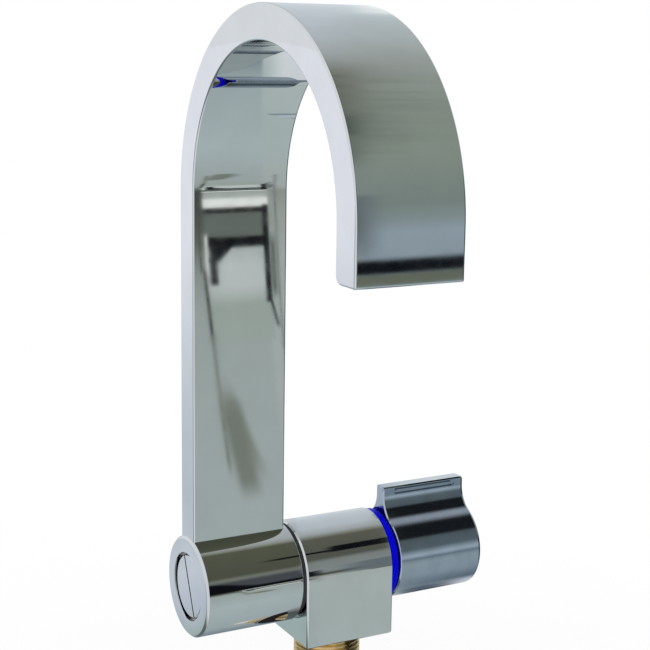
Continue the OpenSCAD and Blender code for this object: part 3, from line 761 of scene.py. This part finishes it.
@dataclass
class Knob:
    """The quarter-turn knob: a round grip with a fin whose flanks are hollow.

    Attributes are sizes in millimetres.
    """

    ends: Pair = (19.3, 51.0)
    radius: float = 14.75
    round_steps: int = 144
    flank_steps: int = 30
    weld: float = 0.02
    fin_top: float = 23.5
    fin_half: float = 2.3
    far_edge: float = 1.2
    near_edge: float = 0.4
    flank: float = 8.7
    hub_start: float = 18.5
    hub_radius: float = 6.3
    bore_radius: float = 4.02
    bore_end: float = 29.3
    hollow_end: float = 34.0
    hollow_radius: float = 12.55
    groove: Pair = (23.2, 47.2)
    groove_rise: float = 21.9
    groove_width: float = 2.2
    groove_roundness: float = 0.98
    groove_channel: float = 0.7
    island_top: float = -2.28
    groove_floor: float = -1.5
    grub_x: float = 26.0
    grub_lean: float = 35.0
    grub_hole: float = 2.2

    def outline(self) -> BMesh:
        """Makes the grip and fin: three arcs and the fin's crest, drawn along the pivot axis."""
        x0, x1 = self.ends
        side = self.fin_half + self.flank
        reach = self.radius + self.flank
        rise = math.acos(side / reach)
        bend = reach * math.sin(rise)
        bm = bmesh.new()

        def arc(start: Pair, centre: Pair, angle: float, steps: int) -> None:
            """Spins a point about a centre, both given across and above the axis."""
            first = bm.verts.new((x0, start[0], AXIS_HEIGHT + start[1]))
            bmesh.ops.spin(bm, geom=[first], cent=(x0, centre[0], AXIS_HEIGHT + centre[1]),
                           axis=(1, 0, 0), angle=angle, steps=steps)

        touch = (self.radius * math.cos(rise), self.radius * math.sin(rise))
        arc(touch, (0, 0), -(math.tau - (math.pi - 2 * rise)), self.round_steps)
        arc((-touch[0], touch[1]), (-side, bend), rise, self.flank_steps)
        arc((self.fin_half, bend), (side, bend), rise, self.flank_steps)
        crest = [bm.verts.new((x0, across, AXIS_HEIGHT + above)) for across, above in (
            (-self.fin_half, bend), (-self.fin_half, self.fin_top),
            (self.fin_half, self.fin_top), (self.fin_half, bend))]
        for pair in zip(crest, crest[1:]):
            bm.edges.new(pair)
        bmesh.ops.remove_doubles(bm, verts=bm.verts, dist=self.weld)
        face = bmesh.ops.contextual_create(bm, geom=bm.edges[:])["faces"]
        drawn(bm, face, (x1 - x0, 0, 0))
        tidy(bm)
        far = [edge for edge in bm.edges
               if all(abs(vert.co.x - x1) < MERGE_DISTANCE for vert in edge.verts)]
        round_off(bm, far, self.far_edge, 5)
        return soften(bm, self.near_edge, segments=1, sharper_than=50)

    def oval(self, inset: float, front: float = -5.0) -> BMesh:
        """Makes a long oval bar for the groove in the fin's front face.

        Args:
            inset: How far it stays within the groove's outline.
            front: How far towards -Y it reaches.

        Returns:
            The bar.
        """
        x0, x1 = self.groove
        half = self.groove_width / 2 - inset
        level = AXIS_HEIGHT + self.groove_rise
        bm = block((x0 + inset, front, level - half),
                   (x1 - inset, self.groove_floor + inset, level + half))
        ends = [edge for edge in bm.edges
                if abs(edge.verts[0].co.y - edge.verts[1].co.y) > MERGE_DISTANCE]
        round_off(bm, ends, half * self.groove_roundness, 8)
        return bm

    def build(self) -> None:
        """Makes and places the knob."""
        grub = turned(stepped(-self.radius - CUT_PAST, ((0.0, self.grub_hole),)),
                      TurnLine.SHANK, steps=32)
        lean_over(grub, self.grub_x, self.grub_lean)
        cup = turned(stepped(self.ends[0] - CUT_PAST, ((self.hollow_end, self.hollow_radius),)),
                     TurnLine.PIVOT)
        root = self.hollow_end + CUT_PAST
        hub = turned([(self.hub_start, self.bore_radius), (self.hub_start, self.hub_radius),
                      (root, self.hub_radius), (root, 0), (self.bore_end, 0),
                      (self.bore_end, self.bore_radius)], TurnLine.PIVOT)
        shape = joined(joined(self.outline(), cup, Joining.CUT), hub, Joining.ADD)
        for tool, how in ((grub, Joining.CUT), (self.oval(0.0), Joining.CUT),
                          (self.oval(self.groove_channel, self.island_top), Joining.ADD)):
            shape = joined(shape, tool, how)
        bmesh.ops.dissolve_degenerate(shape, edges=shape.edges, dist=MERGE_DISTANCE)
        bmesh.ops.holes_fill(shape, edges=[edge for edge in shape.edges if edge.is_boundary],
                             sides=8)
        place_piece(shape, "knob_grip", KNOB_CHROME, "knob", "knob")


@dataclass
class ShankSet:
    """What goes through and under the worktop: shank, washers, backnut and inlet tail.

    Attributes are sizes in millimetres.
    """

    shank_radius: float = 11.0
    shank_foot: float = -46.0
    shank_bore: float = 9.2
    thread_pitch: float = 1.5
    thread_depth: float = 0.75
    thread_steps: int = 72
    thread_top: float = 0.5
    neck_radius: float = 10.4
    neck_top: float = 5.0
    shoulder: float = 1.4
    collar_seat: Pair = (3.0, 8.35)
    throat: Pair = (1.0, 7.3)
    washer_hole: float = 11.2
    washer_radius: float = 17.0
    rubber: Pair = (-20.0, -18.0)
    steel: Pair = (-21.5, -20.0)
    nut: Pair = (-29.5, -21.5)
    nut_corner: float = 16.165
    nut_face_edge: float = 1.3
    nut_hole_edge: Pair = (0.8, 1.4)
    nut_gap: float = 0.05
    flange_radius: float = 16.665
    flange_height: float = 1.8
    flange_edge: float = 0.3

    # Pairs along the pitch and up the depth, as shares of both.
    TOOTH = ((0.0, 0), (0.12, 0), (0.44, 1), (0.56, 1), (0.88, 0), (1.0, 0))
    # Pairs of height and radius: stem, stop, collar and seal groove, round the 4 mm bore.
    TAIL = ((-70.0, 4.0), (-70.0, 5.2), (-69.2, 6.0), (-47.0, 6.0), (-47.0, 6.6), (3.0, 6.6),
            (3.0, 8.3), (5.0, 8.3), (5.0, 6.0), (6.35, 6.0), (6.35, 5.0), (7.65, 5.0),
            (7.65, 6.0), (8.9, 6.0), (8.9, 4.0))

    def thread(self) -> BMesh:
        """Makes the thread: one tooth spun up round the shank, and trimmed flat at both ends."""
        pitch = self.thread_pitch
        root = self.shank_radius - self.thread_depth
        bm = bmesh.new()
        points = [bm.verts.new((root + rise * self.thread_depth, 0,
                                self.shank_foot + (share - 1) * pitch)) for share, rise in self.TOOTH]
        edges = [bm.edges.new(pair) for pair in zip(points, points[1:])]
        bmesh.ops.spin(bm, geom=[*points, *edges], cent=(0, 0, 0), axis=(0, 0, 1),
                       dvec=(0, 0, pitch / self.thread_steps), angle=math.tau,
                       steps=self.thread_steps)
        turns = 1
        while turns * pitch < 2 * pitch - self.shank_foot:
            twin = bmesh.ops.duplicate(bm, geom=[*bm.verts, *bm.edges, *bm.faces])["geom"]
            corners = [item for item in twin if isinstance(item, BMVert)]
            bmesh.ops.translate(bm, vec=(0, 0, turns * pitch), verts=corners)
            turns *= 2
        bmesh.ops.remove_doubles(bm, verts=bm.verts, dist=MERGE_DISTANCE)
        for level, way in ((self.shank_foot, -1), (0.0, 1)):
            bmesh.ops.bisect_plane(bm, geom=[*bm.verts, *bm.edges, *bm.faces], dist=MERGE_DISTANCE,
                                   plane_co=(0, 0, level), plane_no=(0, 0, way), clear_outer=True)
        bmesh.ops.remove_doubles(bm, verts=bm.verts, dist=NEAR)
        return bm

    def shank(self) -> BMesh:
        """Makes the shank: its thread, bridged to its neck above and its bore below."""
        bm = self.thread()
        foot, top = self.rim(bm, self.shank_foot), self.rim(bm, 0.0)
        (seat, seat_radius), (throat, throat_radius) = self.collar_seat, self.throat
        profile = [(self.thread_top, self.shank_radius), (self.shoulder, self.shank_radius),
                   (self.shoulder, self.neck_radius), (self.neck_top, self.neck_radius),
                   (self.neck_top, seat_radius), (seat, seat_radius), (seat, throat_radius),
                   (throat, throat_radius), (throat, self.shank_bore),
                   (self.shank_foot, self.shank_bore)]
        points = [bm.verts.new(TurnLine.SHANK.point(place, radius)) for place, radius in profile]
        edges = [bm.edges.new(pair) for pair in zip(points, points[1:])]
        bmesh.ops.spin(bm, geom=[*points, *edges], cent=(0, 0, 0), axis=(0, 0, 1),
                       angle=math.tau, steps=2 * self.thread_steps, use_merge=True)
        bmesh.ops.bridge_loops(bm, edges=[*top, *self.rim(bm, self.thread_top)])
        bore = [edge for edge in self.rim(bm, self.shank_foot) if edge not in foot]
        bmesh.ops.bridge_loops(bm, edges=[*foot, *bore])
        return tidy(bm)

    @staticmethod
    def rim(bm: BMesh, level: float) -> list[BMEdge]:
        """Finds the open edges that lie at a height."""
        return [edge for edge in bm.edges if edge.is_boundary
                and all(abs(vert.co.z - level) < NEAR for vert in edge.verts)]

    def washer(self, ends: Pair, edge: float) -> BMesh:
        """Makes a flat washer.

        Args:
            ends: Heights of its lower and upper faces.
            edge: Rounding of its edges.

        Returns:
            The washer.
        """
        low, high = ends
        profile = [(low, self.washer_hole), (low, self.washer_radius), (high, self.washer_radius),
                   (high, self.washer_hole)]
        return soften(turned(profile, TurnLine.SHANK), edge)

    def backnut(self) -> BMesh:
        """Makes the flanged hexagon nut, with its corners turned off."""
        low, high = self.nut
        bm = bmesh.new()
        turn = math.radians(30)
        start = Matrix.Translation((0, 0, low)) @ Matrix.Rotation(turn, 4, "Z")
        bmesh.ops.create_circle(bm, cap_ends=True, segments=6, radius=self.nut_corner, matrix=start)
        drawn(bm, bm.faces[:], (0, 0, high - low - self.flange_height / 2))
        tidy(bm)
        flats = self.nut_corner * math.cos(turn)
        slope = (self.nut_corner - flats) * math.tan(turn) + 0.3
        wide, under, over = self.nut_corner + 0.1, low - CUT_PAST, high + CUT_PAST
        cone = turned([(under, 0), (under, flats - self.nut_face_edge), (low + slope, wide),
                       (over, wide), (over, 0)], TurnLine.SHANK)
        flange = turned(stepped(high - self.flange_height, ((high, self.flange_radius),)),
                        TurnLine.SHANK)
        flange = soften(flange, self.flange_edge)
        depth, width = self.nut_hole_edge
        bore = self.shank_radius + self.nut_gap
        hole = turned([(under, 0), (under, self.shank_radius + width), (low + depth, bore),
                       (over, bore), (over, 0)], TurnLine.SHANK)
        shape = joined(joined(bm, cone, Joining.KEEP_COMMON), flange, Joining.ADD)
        return joined(shape, hole, Joining.CUT)

    def build(self) -> None:
        """Makes and places the five pieces."""
        soft, hard = self.washer(self.rubber, 0.5), self.washer(self.steel, 0.2)
        tail = soften(turned(self.TAIL, TurnLine.SHANK), 0.15, segments=2)
        for shape, name, finish, node, slot in (
                (self.shank(), "shank_thread", BRASS, "threaded_shank", "brass"),
                (soft, "soft_washer", RUBBER, "rubber_washer", "rubber"),
                (hard, "hard_washer", STEEL, "clamp_washer", "steel"),
                (self.backnut(), "hexagon_nut", BRASS, "backnut", "brass"),
                (tail, "push_fit_tail", WHITE_PLASTIC, "inlet_tail", "white_plastic")):
            place_piece(shape, name, finish, "body", node)


@dataclass
class InnerWorks:
    """The pieces whose CAD shape is right, which only get their finish.

    Attributes:
        nodes: The frame's nodes by name.
    """

    nodes: dict[str, bpy.types.Object]

    def build(self) -> None:
        """Gives each node its finish."""
        finishes = {
            RUBBER: ("foot_seal", "tail_o_ring", "cable_grommet", "spigot_o_rings",
                     "cartridge_seal", "outlet_seal", "spindle_o_ring"),
            BRASS: ("pivot_spigot", "cartridge_body", "cartridge_nut", "switch_terminals", "spindle"),
            BLACK_PLASTIC: ("thrust_washer", "switch_case", "outlet_insert"),
            WHITE_PLASTIC: ("friction_washer", "switch_plunger", "spout_bushes", "switch_cam"),
            CERAMIC: ("fixed_disc", "rotating_disc"),
            STEEL: ("knob_grub_screw",),
        }
        for finish, names in finishes.items():
            for name in names:
                node = self.nodes[name]
                node.data.materials.clear()
                node.data.materials.append(finish.material())
                LOG.info("%s keeps its CAD shape, in %s", name, finish.name)


BLACK: Colour = (0.006, 0.007, 0.010)


@dataclass(frozen=True)
class Card:
    """A soft-edged patch of the room, as bright metal sees it.

    Attributes:
        angle: Its lowest and highest angle about the pivot axis, 0 towards -Y and 90 upwards.
        side: Its ends along that axis, as X of the way that is looked.
        colour: Its colour.
        soft: Width of its soft rim, in degrees and in X.
        lean: How far its sides move along X for each degree below its top.
    """

    angle: Pair
    side: Pair
    colour: Colour = BLACK
    soft: Pair = (0.3, 0.002)
    lean: float = 0.0

    def share(self, wiring: Wiring, angle: Socket, side: Socket) -> Socket:
        """Gives 1 on the card and 0 off it.

        Args:
            wiring: The world's node tree.
            angle: The angle that is looked at.
            side: The X that is looked at.

        Returns:
            The share's socket.
        """
        share = 1.0
        if self.lean:
            below = wiring.minus(self.angle[1], angle)
            side = wiring.minus(side, wiring.times(below, self.lean))
        for value, (low, high), soft in zip((angle, side), (self.angle, self.side), self.soft):
            half = soft / 2
            for edge, start, end in ((low, 0.0, 1.0), (high, 1.0, 0.0)):
                rise = wiring.ease(value, edge - half, edge + half, start, end)
                share = wiring.times(share, rise)
        return share


@dataclass
class Studio:
    """A plain white room with soft light, and the fixed room that bright metal mirrors.

    The five VIEW tuples of the room are gradients: pairs of an angle
    about the pivot axis, 0 towards -Y and 90 upwards, and the colour that is seen there. Four
    of them run side by side along X, for the barrel, the block, the arch and all that lies to
    the left, and WINDOW_VIEW fills the framed window. CARDS lie over them in their order.
    HOOD_VIEW colours a curved card over the knob in the same way.

    Attributes:
        floor_height: Height of the floor in metres, below the folded spout.
        floor_radius: Radius of the floor in metres.
        floor_white: Least share of plain white in the floor.
        room_level: Level at which the room lights the tap.
        lamp_place: Where the lamp hangs, in metres.
        lamp_size: The lamp's width in metres.
        lamp_power: The lamp's power in watts.
        hood_radius: Distance of the knob's hood from the pivot axis, in millimetres.
        hood_ends: Ends of the hood along X, in millimetres.
        hood_turn: Lowest and highest angle of the hood, in degrees.
        to_body: Where the barrel's view gives way to the block's, as X of the way looked.
        to_arch: Where the block's gives way to the arch's, below and above a slant.
        slant: Angles between which that border moves.
        to_left: Where the left side's view gives way to the others.
    """

    floor_height: float = -0.09
    floor_radius: float = 0.45
    floor_white: float = 0.5
    room_level: float = 0.9
    lamp_place: tuple[float, float, float] = (-0.5, -0.7, 1.1)
    lamp_size: float = 0.9
    lamp_power: float = 3.0
    hood_radius: float = 80.0
    hood_ends: Pair = (54.0, 106.0)
    hood_turn: Pair = (-7.5, 98.0)
    to_body: Pair = (0.4285, 0.4315)
    to_arch: Pair = (0.486, 0.476)
    slant: Pair = (88.0, 100.0)
    to_left: Pair = (-0.15, 0.2)

    BARREL_VIEW = (
        (-180, (0.50, 0.57, 0.61)), (-150, (0.45, 0.52, 0.58)), (-135, (0.20, 0.26, 0.30)),
        (-100, (0.44, 0.52, 0.54)), (-40, (0.52, 0.61, 0.63)), (-13, (0.45, 0.52, 0.51)),
        (-10.3, (0.42, 0.47, 0.44)), (-8.5, (0.16, 0.18, 0.15)), (-5, BLACK), (-1.5, BLACK),
        (1, (0.08, 0.09, 0.10)), (14, (0.08, 0.09, 0.10)), (21, (0.23, 0.25, 0.22)),
        (28, (0.10, 0.11, 0.08)), (83, (0.12, 0.13, 0.09)), (91, (0.37, 0.39, 0.35)),
        (100, (0.50, 0.54, 0.57)), (180, (0.72, 0.78, 0.84)))
    BODY_VIEW = (
        (-180, (0.70, 0.75, 0.80)), (-117, (0.55, 0.64, 0.63)), (-40, (0.52, 0.61, 0.61)),
        (-9, (0.50, 0.56, 0.54)), (-6, (0.36, 0.39, 0.35)), (-3.4, (0.07, 0.08, 0.05)),
        (-1.6, (0.09, 0.10, 0.08)), (3, (0.30, 0.34, 0.35)), (26, (0.27, 0.30, 0.29)),
        (34, (0.11, 0.12, 0.10)), (82, (0.14, 0.14, 0.11)), (88, (0.27, 0.29, 0.25)),
        (97, (0.48, 0.52, 0.54)), (115, (0.63, 0.69, 0.75)), (180, (0.76, 0.82, 0.88)))
    ARCH_VIEW = (
        (-180, (0.66, 0.74, 0.80)), (-135, (0.05, 0.07, 0.10)), (-105, (0.11, 0.16, 0.21)),
        (-75, (0.27, 0.34, 0.39)), (-55, (0.44, 0.52, 0.57)), (-22, (0.50, 0.58, 0.61)),
        (-11, (0.34, 0.42, 0.47)), (-9, (0.37, 0.46, 0.53)), (-2, (0.30, 0.37, 0.38)),
        (7, (0.25, 0.31, 0.29)), (35, (0.32, 0.38, 0.33)), (65, (0.33, 0.385, 0.335)),
        (95, (0.43, 0.47, 0.45)), (115, (0.54, 0.60, 0.61)), (145, (0.63, 0.72, 0.76)),
        (180, (0.76, 0.84, 0.88)))
    LEFT_VIEW = (
        (-180, (1.0, 1.02, 1.1)), (-172, (1.02, 1.04, 1.14)), (-163, (0.64, 0.72, 0.79)),
        (-160, (0.64, 0.71, 0.78)), (-157, (0.74, 0.80, 0.90)), (-156, (0.60, 0.67, 0.78)),
        (-155, (0.45, 0.57, 0.56)), (-130, (0.16, 0.20, 0.20)), (-95, (0.14, 0.16, 0.17)),
        (-70, (0.85, 0.88, 0.92)), (180, (0.93, 0.96, 1.0)))
    WINDOW_VIEW = (
        (-14, (0.44, 0.51, 0.48)), (-11.3, (0.44, 0.51, 0.47)), (-10.5, (0.66, 0.72, 0.71)),
        (-9.6, (0.66, 0.72, 0.71)), (-8.85, (0.55, 0.61, 0.60)), (-8.75, BLACK), (-8.36, BLACK),
        (-8.28, (0.18, 0.21, 0.19)), (-7.3, (0.17, 0.20, 0.18)), (-7.24, BLACK), (-7.05, BLACK),
        (-7.0, (1.05, 1.08, 1.05)), (-6.66, (1.05, 1.08, 1.05)), (-6.6, (0.50, 0.55, 0.52)),
        (-5.8, (0.42, 0.47, 0.44)))
    HOOD_VIEW = (
        (-7.5, (0.27, 0.34, 0.38)), (-6, (0.24, 0.30, 0.34)), (-2.3, (0.42, 0.50, 0.57)),
        (1, (0.62, 0.70, 0.76)), (5, (0.56, 0.64, 0.68)), (12, (0.32, 0.39, 0.42)),
        (17, (0.18, 0.22, 0.23)), (40, (0.15, 0.18, 0.185)), (46, (0.016, 0.018, 0.02)),
        (76.5, (0.016, 0.018, 0.02)), (80, (0.12, 0.12, 0.13)), (88, (0.45, 0.48, 0.53)),
        (98, (0.52, 0.56, 0.61)))
    FRAME = Card((-13.0, -6.1), (0.3885, 0.4325), soft=(0.2, 0.0008))
    CARDS = (
        Card((-2.5, 8.0), (0.4300, 0.4400), soft=(2.0, 0.003)),
        Card((44.5, 58.0), (0.4470, 0.4860), soft=(3.0, 0.008)),
        Card((46.5, 50.5), (0.4090, 0.4520), soft=(2.0, 0.02)),
        Card((-10.4, -8.3), (0.3913, 0.3968), soft=(0.12, 0.0008)),
        Card((-9.4, -8.5), (0.4015, 0.4115), soft=(0.12, 0.0010), lean=-0.015),
        Card((-10.0, -8.2), (0.3886, 0.3906), (0.85, 0.90, 0.88), (0.3, 0.0006)),
        Card((-11.3, -6.95), (0.4285, 0.4325), soft=(0.12, 0.0008)),
        Card((-12.4, -11.1), (0.4303, 0.4322), soft=(0.4, 0.0008), lean=0.003),
        Card((-11.0, -8.4), (0.4332, 0.4362), (0.16, 0.19, 0.17), (0.8, 0.0016)),
        Card((-13.5, -6.0), (0.4372, 0.4380), (0.05, 0.06, 0.06), (0.4, 0.0005)),
        Card((-18.0, -13.0), (0.4376, 0.4388), (0.14, 0.17, 0.14), (0.4, 0.0006)),
        Card((-9.8, -5.6), (0.3848, 0.3860), (0.06, 0.07, 0.06), (0.3, 0.0006)),
        Card((-13.0, -9.7), (0.3866, 0.3888), (0.02, 0.025, 0.02), (0.6, 0.0010), lean=0.0007),
        Card((-18.5, -12.8), (0.3889, 0.3915), (0.26, 0.29, 0.24), (1.0, 0.0018), lean=0.0004),
        Card((-18.6, -15.0), (0.3905, 0.4000), (0.30, 0.34, 0.30), (1.4, 0.006), lean=0.0045),
        Card((-19.5, -15.6), (0.3905, 0.4040), (0.24, 0.27, 0.235), (1.2, 0.007), lean=0.002),
        Card((-9.6, 12.0), (0.459, 0.494), (0.17, 0.21, 0.23), (3.0, 0.024)),
        Card((-10.6, -9.75), (0.470, 0.560), soft=(0.35, 0.004)),
        Card((-11.2, -10.62), (0.470, 0.560), (0.17, 0.19, 0.145), (0.12, 0.004)),
        Card((-158.0, -97.0), (0.438, 0.476), (0.84, 0.89, 0.92), (8.0, 0.016)),
        Card((-158.0, -100.0), (0.518, 0.60), (0.95, 0.97, 1.0), (22.0, 0.02)),
        Card((-55.0, 25.0), (0.62, 1.20), (0.02, 0.02, 0.025), (12.0, 0.08)),
        Card((146.0, 176.0), (0.49, 0.62), (1.02, 1.06, 1.06), (10.0, 0.02)),
    )

    def floor(self) -> None:
        """Makes the round floor, which fades to plain white at its rim."""
        bm = bmesh.new()
        bmesh.ops.create_circle(bm, cap_ends=True, segments=96, radius=self.floor_radius,
                                matrix=Matrix.Translation((0, 0, self.floor_height)))
        floor = to_object(bm, "studio_floor")
        material, wiring = new_material("studio_floor")
        parts = wiring.parts()
        distance = wiring.length(parts["X"], parts["Y"])
        rim = wiring.ease(distance, self.floor_radius * 0.2, self.floor_radius * 0.9,
                          self.floor_white)
        matt = wiring.add("ShaderNodeBsdfDiffuse", {"Color": (0.98, 0.98, 0.98, 1.0)})
        white = wiring.add("ShaderNodeEmission", {"Color": (1.0, 1.0, 1.0, 1.0), "Strength": 1.0})
        seen = wiring.add("ShaderNodeMixShader", {0: rim, 1: matt.outputs[0], 2: white.outputs[0]})
        wiring.add("ShaderNodeOutputMaterial", {"Surface": seen.outputs[0]})
        floor.data.materials.append(material)
        floor.visible_glossy = False

    def hood(self) -> None:
        """Bends a card of dark and pale bands over the knob, which only bright metal sees."""
        bm = bmesh.new()
        low, high = (math.radians(turn) for turn in self.hood_turn)
        front = -self.hood_radius * math.cos(low)
        level = AXIS_HEIGHT + self.hood_radius * math.sin(low)
        ends = [bm.verts.new((x, front, level)) for x in self.hood_ends]
        edge = bm.edges.new(ends)
        bmesh.ops.spin(bm, geom=[*ends, edge], cent=TurnLine.PIVOT.centre,
                       axis=TurnLine.PIVOT.direction, angle=low - high, steps=64)
        bmesh.ops.scale(bm, vec=(MILLIMETRE,) * 3, verts=bm.verts)
        hood = to_object(bm, "knob_hood")
        material, wiring = new_material("knob_hood")
        parts = wiring.parts()
        angle = self.angle(wiring, parts["Y"], wiring.minus(parts["Z"], AXIS_HEIGHT * MILLIMETRE))
        colour = self.view(wiring, angle, self.HOOD_VIEW)
        shown = wiring.add("ShaderNodeEmission", {"Color": colour, "Strength": 1.0})
        wiring.add("ShaderNodeOutputMaterial", {"Surface": shown.outputs[0]})
        material.cycles.emission_sampling = "NONE"
        hood.data.materials.append(material)
        hood.visible_camera = hood.visible_diffuse = hood.visible_shadow = False
        hood.visible_transmission = hood.visible_volume_scatter = False

    def lamps(self) -> None:
        """Hangs one broad soft lamp above and in front."""
        lamp = bpy.data.lights.new("soft_key", "AREA")
        lamp.shape, lamp.size, lamp.energy = "DISK", self.lamp_size, self.lamp_power
        key = bpy.data.objects.new("soft_key", lamp)
        key.location = self.lamp_place
        key.rotation_euler = (-Vector(key.location)).to_track_quat("-Z", "Y").to_euler()
        key.visible_glossy = False
        bpy.context.scene.collection.objects.link(key)

    @staticmethod
    def angle(wiring: Wiring, across: Socket, above: Socket) -> Socket:
        """Gives the angle about the pivot axis in degrees, 0 towards -Y and 90 upwards."""
        turn = wiring.math("ARCTAN2", above, wiring.times(across, -1.0))
        return wiring.times(turn, 180 / math.pi)

    @staticmethod
    def view(wiring: Wiring, angle: Socket, stops: Sequence[tuple[float, Colour]]) -> Socket:
        """Runs through colours with the angle.

        Args:
            wiring: The node tree.
            angle: The angle that is looked at.
            stops: Pairs of angle and colour, in rising order.

        Returns:
            The colour's socket.
        """
        low, high = stops[0][0], stops[-1][0]
        place = wiring.math("DIVIDE", wiring.minus(angle, low), high - low)
        return wiring.ramp(place, [((turn - low) / (high - low), tone) for turn, tone in stops])

    def room(self, wiring: Wiring) -> Socket:
        """Builds the room that bright metal mirrors, from the gradients, window and cards.

        Args:
            wiring: The world's node tree.

        Returns:
            The colour's socket.
        """
        parts = wiring.parts("Generated")
        side, angle = parts["X"], self.angle(wiring, parts["Y"], parts["Z"])
        barrel, body, arch, window, left = (self.view(wiring, angle, stops) for stops in (
            self.BARREL_VIEW, self.BODY_VIEW, self.ARCH_VIEW, self.WINDOW_VIEW, self.LEFT_VIEW))
        # A black wedge on the barrel, whose top falls from 16 degrees to its foot along X.
        top = wiring.ease(side, 0.365, 0.408, 16.0, -1.5)
        wedge = wiring.times(wiring.ease(angle, -5.5, -4.5),
                             wiring.ease(wiring.minus(angle, top), -2.5, 2.5, 1.0, 0.0))
        colour = wiring.mix(wiring.ease(side, *self.to_body), wiring.mix(wedge, barrel, BLACK), body)
        border = wiring.minus(side, wiring.ease(angle, *self.slant, *self.to_arch))
        colour = wiring.mix(wiring.ease(border, -0.004, 0.004), colour, arch)
        colour = wiring.mix(self.FRAME.share(wiring, angle, side), colour, window)
        for card in self.CARDS:
            colour = wiring.mix(card.share(wiring, angle, side), colour, card.colour)
        return wiring.mix(wiring.ease(side, *self.to_left), left, colour)

    def world(self) -> None:
        """Lights the tap evenly and shows the camera plain white."""
        world = bpy.data.worlds.new("studio_room")
        world.use_nodes = True
        bpy.context.scene.world = world
        wiring = Wiring(world.node_tree)
        path = wiring.add("ShaderNodeLightPath").outputs
        room = self.room(wiring)
        lit = wiring.mix(path["Is Diffuse Ray"], room, (self.room_level,) * 3)
        plain = wiring.math("MAXIMUM", path["Is Camera Ray"], path["Is Transmission Ray"])
        shown = wiring.mix(plain, lit, (1.0, 1.0, 1.0))
        back = wiring.add("ShaderNodeBackground", {"Color": shown, "Strength": 1.0})
        wiring.add("ShaderNodeOutputWorld", {"Surface": back.outputs[0]})
        world.cycles.sampling_method = "NONE"

    def build(self) -> None:
        """Sets up the world, the lamp, the floor, the hood and the view transform."""
        self.world()
        self.lamps()
        self.floor()
        self.hood()
        bpy.context.scene.view_settings.view_transform = "Standard"


@dataclass
class PhotoCamera:
    """The camera at the photograph's viewing angle.

    Attributes:
        azimuth: Degrees round +Z from the -Y side.
        elevation: Degrees above the horizon.
        roll: Degrees that the camera is rolled.
        distance: Distance from its target in metres.
        target: The point that it looks at.
        lens: Focal length in millimetres on a 36 mm sensor.
        shift: The photograph's small shift of its centre.
    """

    azimuth: float = -28.2497
    elevation: float = 11.055
    roll: float = 0.9069
    distance: float = 0.4531563
    target: tuple[float, float, float] = (-0.001314, 0.0, 0.1017192)
    lens: float = 78.681
    shift: Pair = (-0.00482, -0.00108)

    def build(self) -> None:
        """Makes the camera and sets it as the scene's."""
        a, e, r = (math.radians(angle) for angle in (self.azimuth, self.elevation, self.roll))
        back = Vector((math.sin(a) * math.cos(e), -math.cos(a) * math.cos(e), math.sin(e)))
        level = Vector((0, 0, 1)).cross(back).normalized()
        upright = back.cross(level)
        right = level * math.cos(r) + upright * math.sin(r)
        up = upright * math.cos(r) - level * math.sin(r)
        data = bpy.data.cameras.new("photo_camera")
        data.sensor_width, data.lens = 36.0, self.lens
        data.shift_x, data.shift_y = self.shift
        data.clip_start, data.clip_end = 0.01, 50.0
        camera = bpy.data.objects.new("photo_camera", data)
        turned_to = Matrix((right, up, back)).transposed().to_4x4()
        camera.matrix_world = Matrix.Translation(Vector(self.target) + back * self.distance) @ turned_to
        bpy.context.scene.collection.objects.link(camera)
        bpy.context.scene.camera = camera


def main() -> None:
    """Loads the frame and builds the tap's looks."""
    logging.basicConfig(level=logging.INFO, format="%(name)s: %(message)s")
    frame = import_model()
    PhotoCamera().build()
    Studio().build()
    for assembly in (Spout(), Body(), Knob(), ShankSet(), InnerWorks(frame["nodes"])):
        assembly.build()


if __name__ == "__main__":
    main()
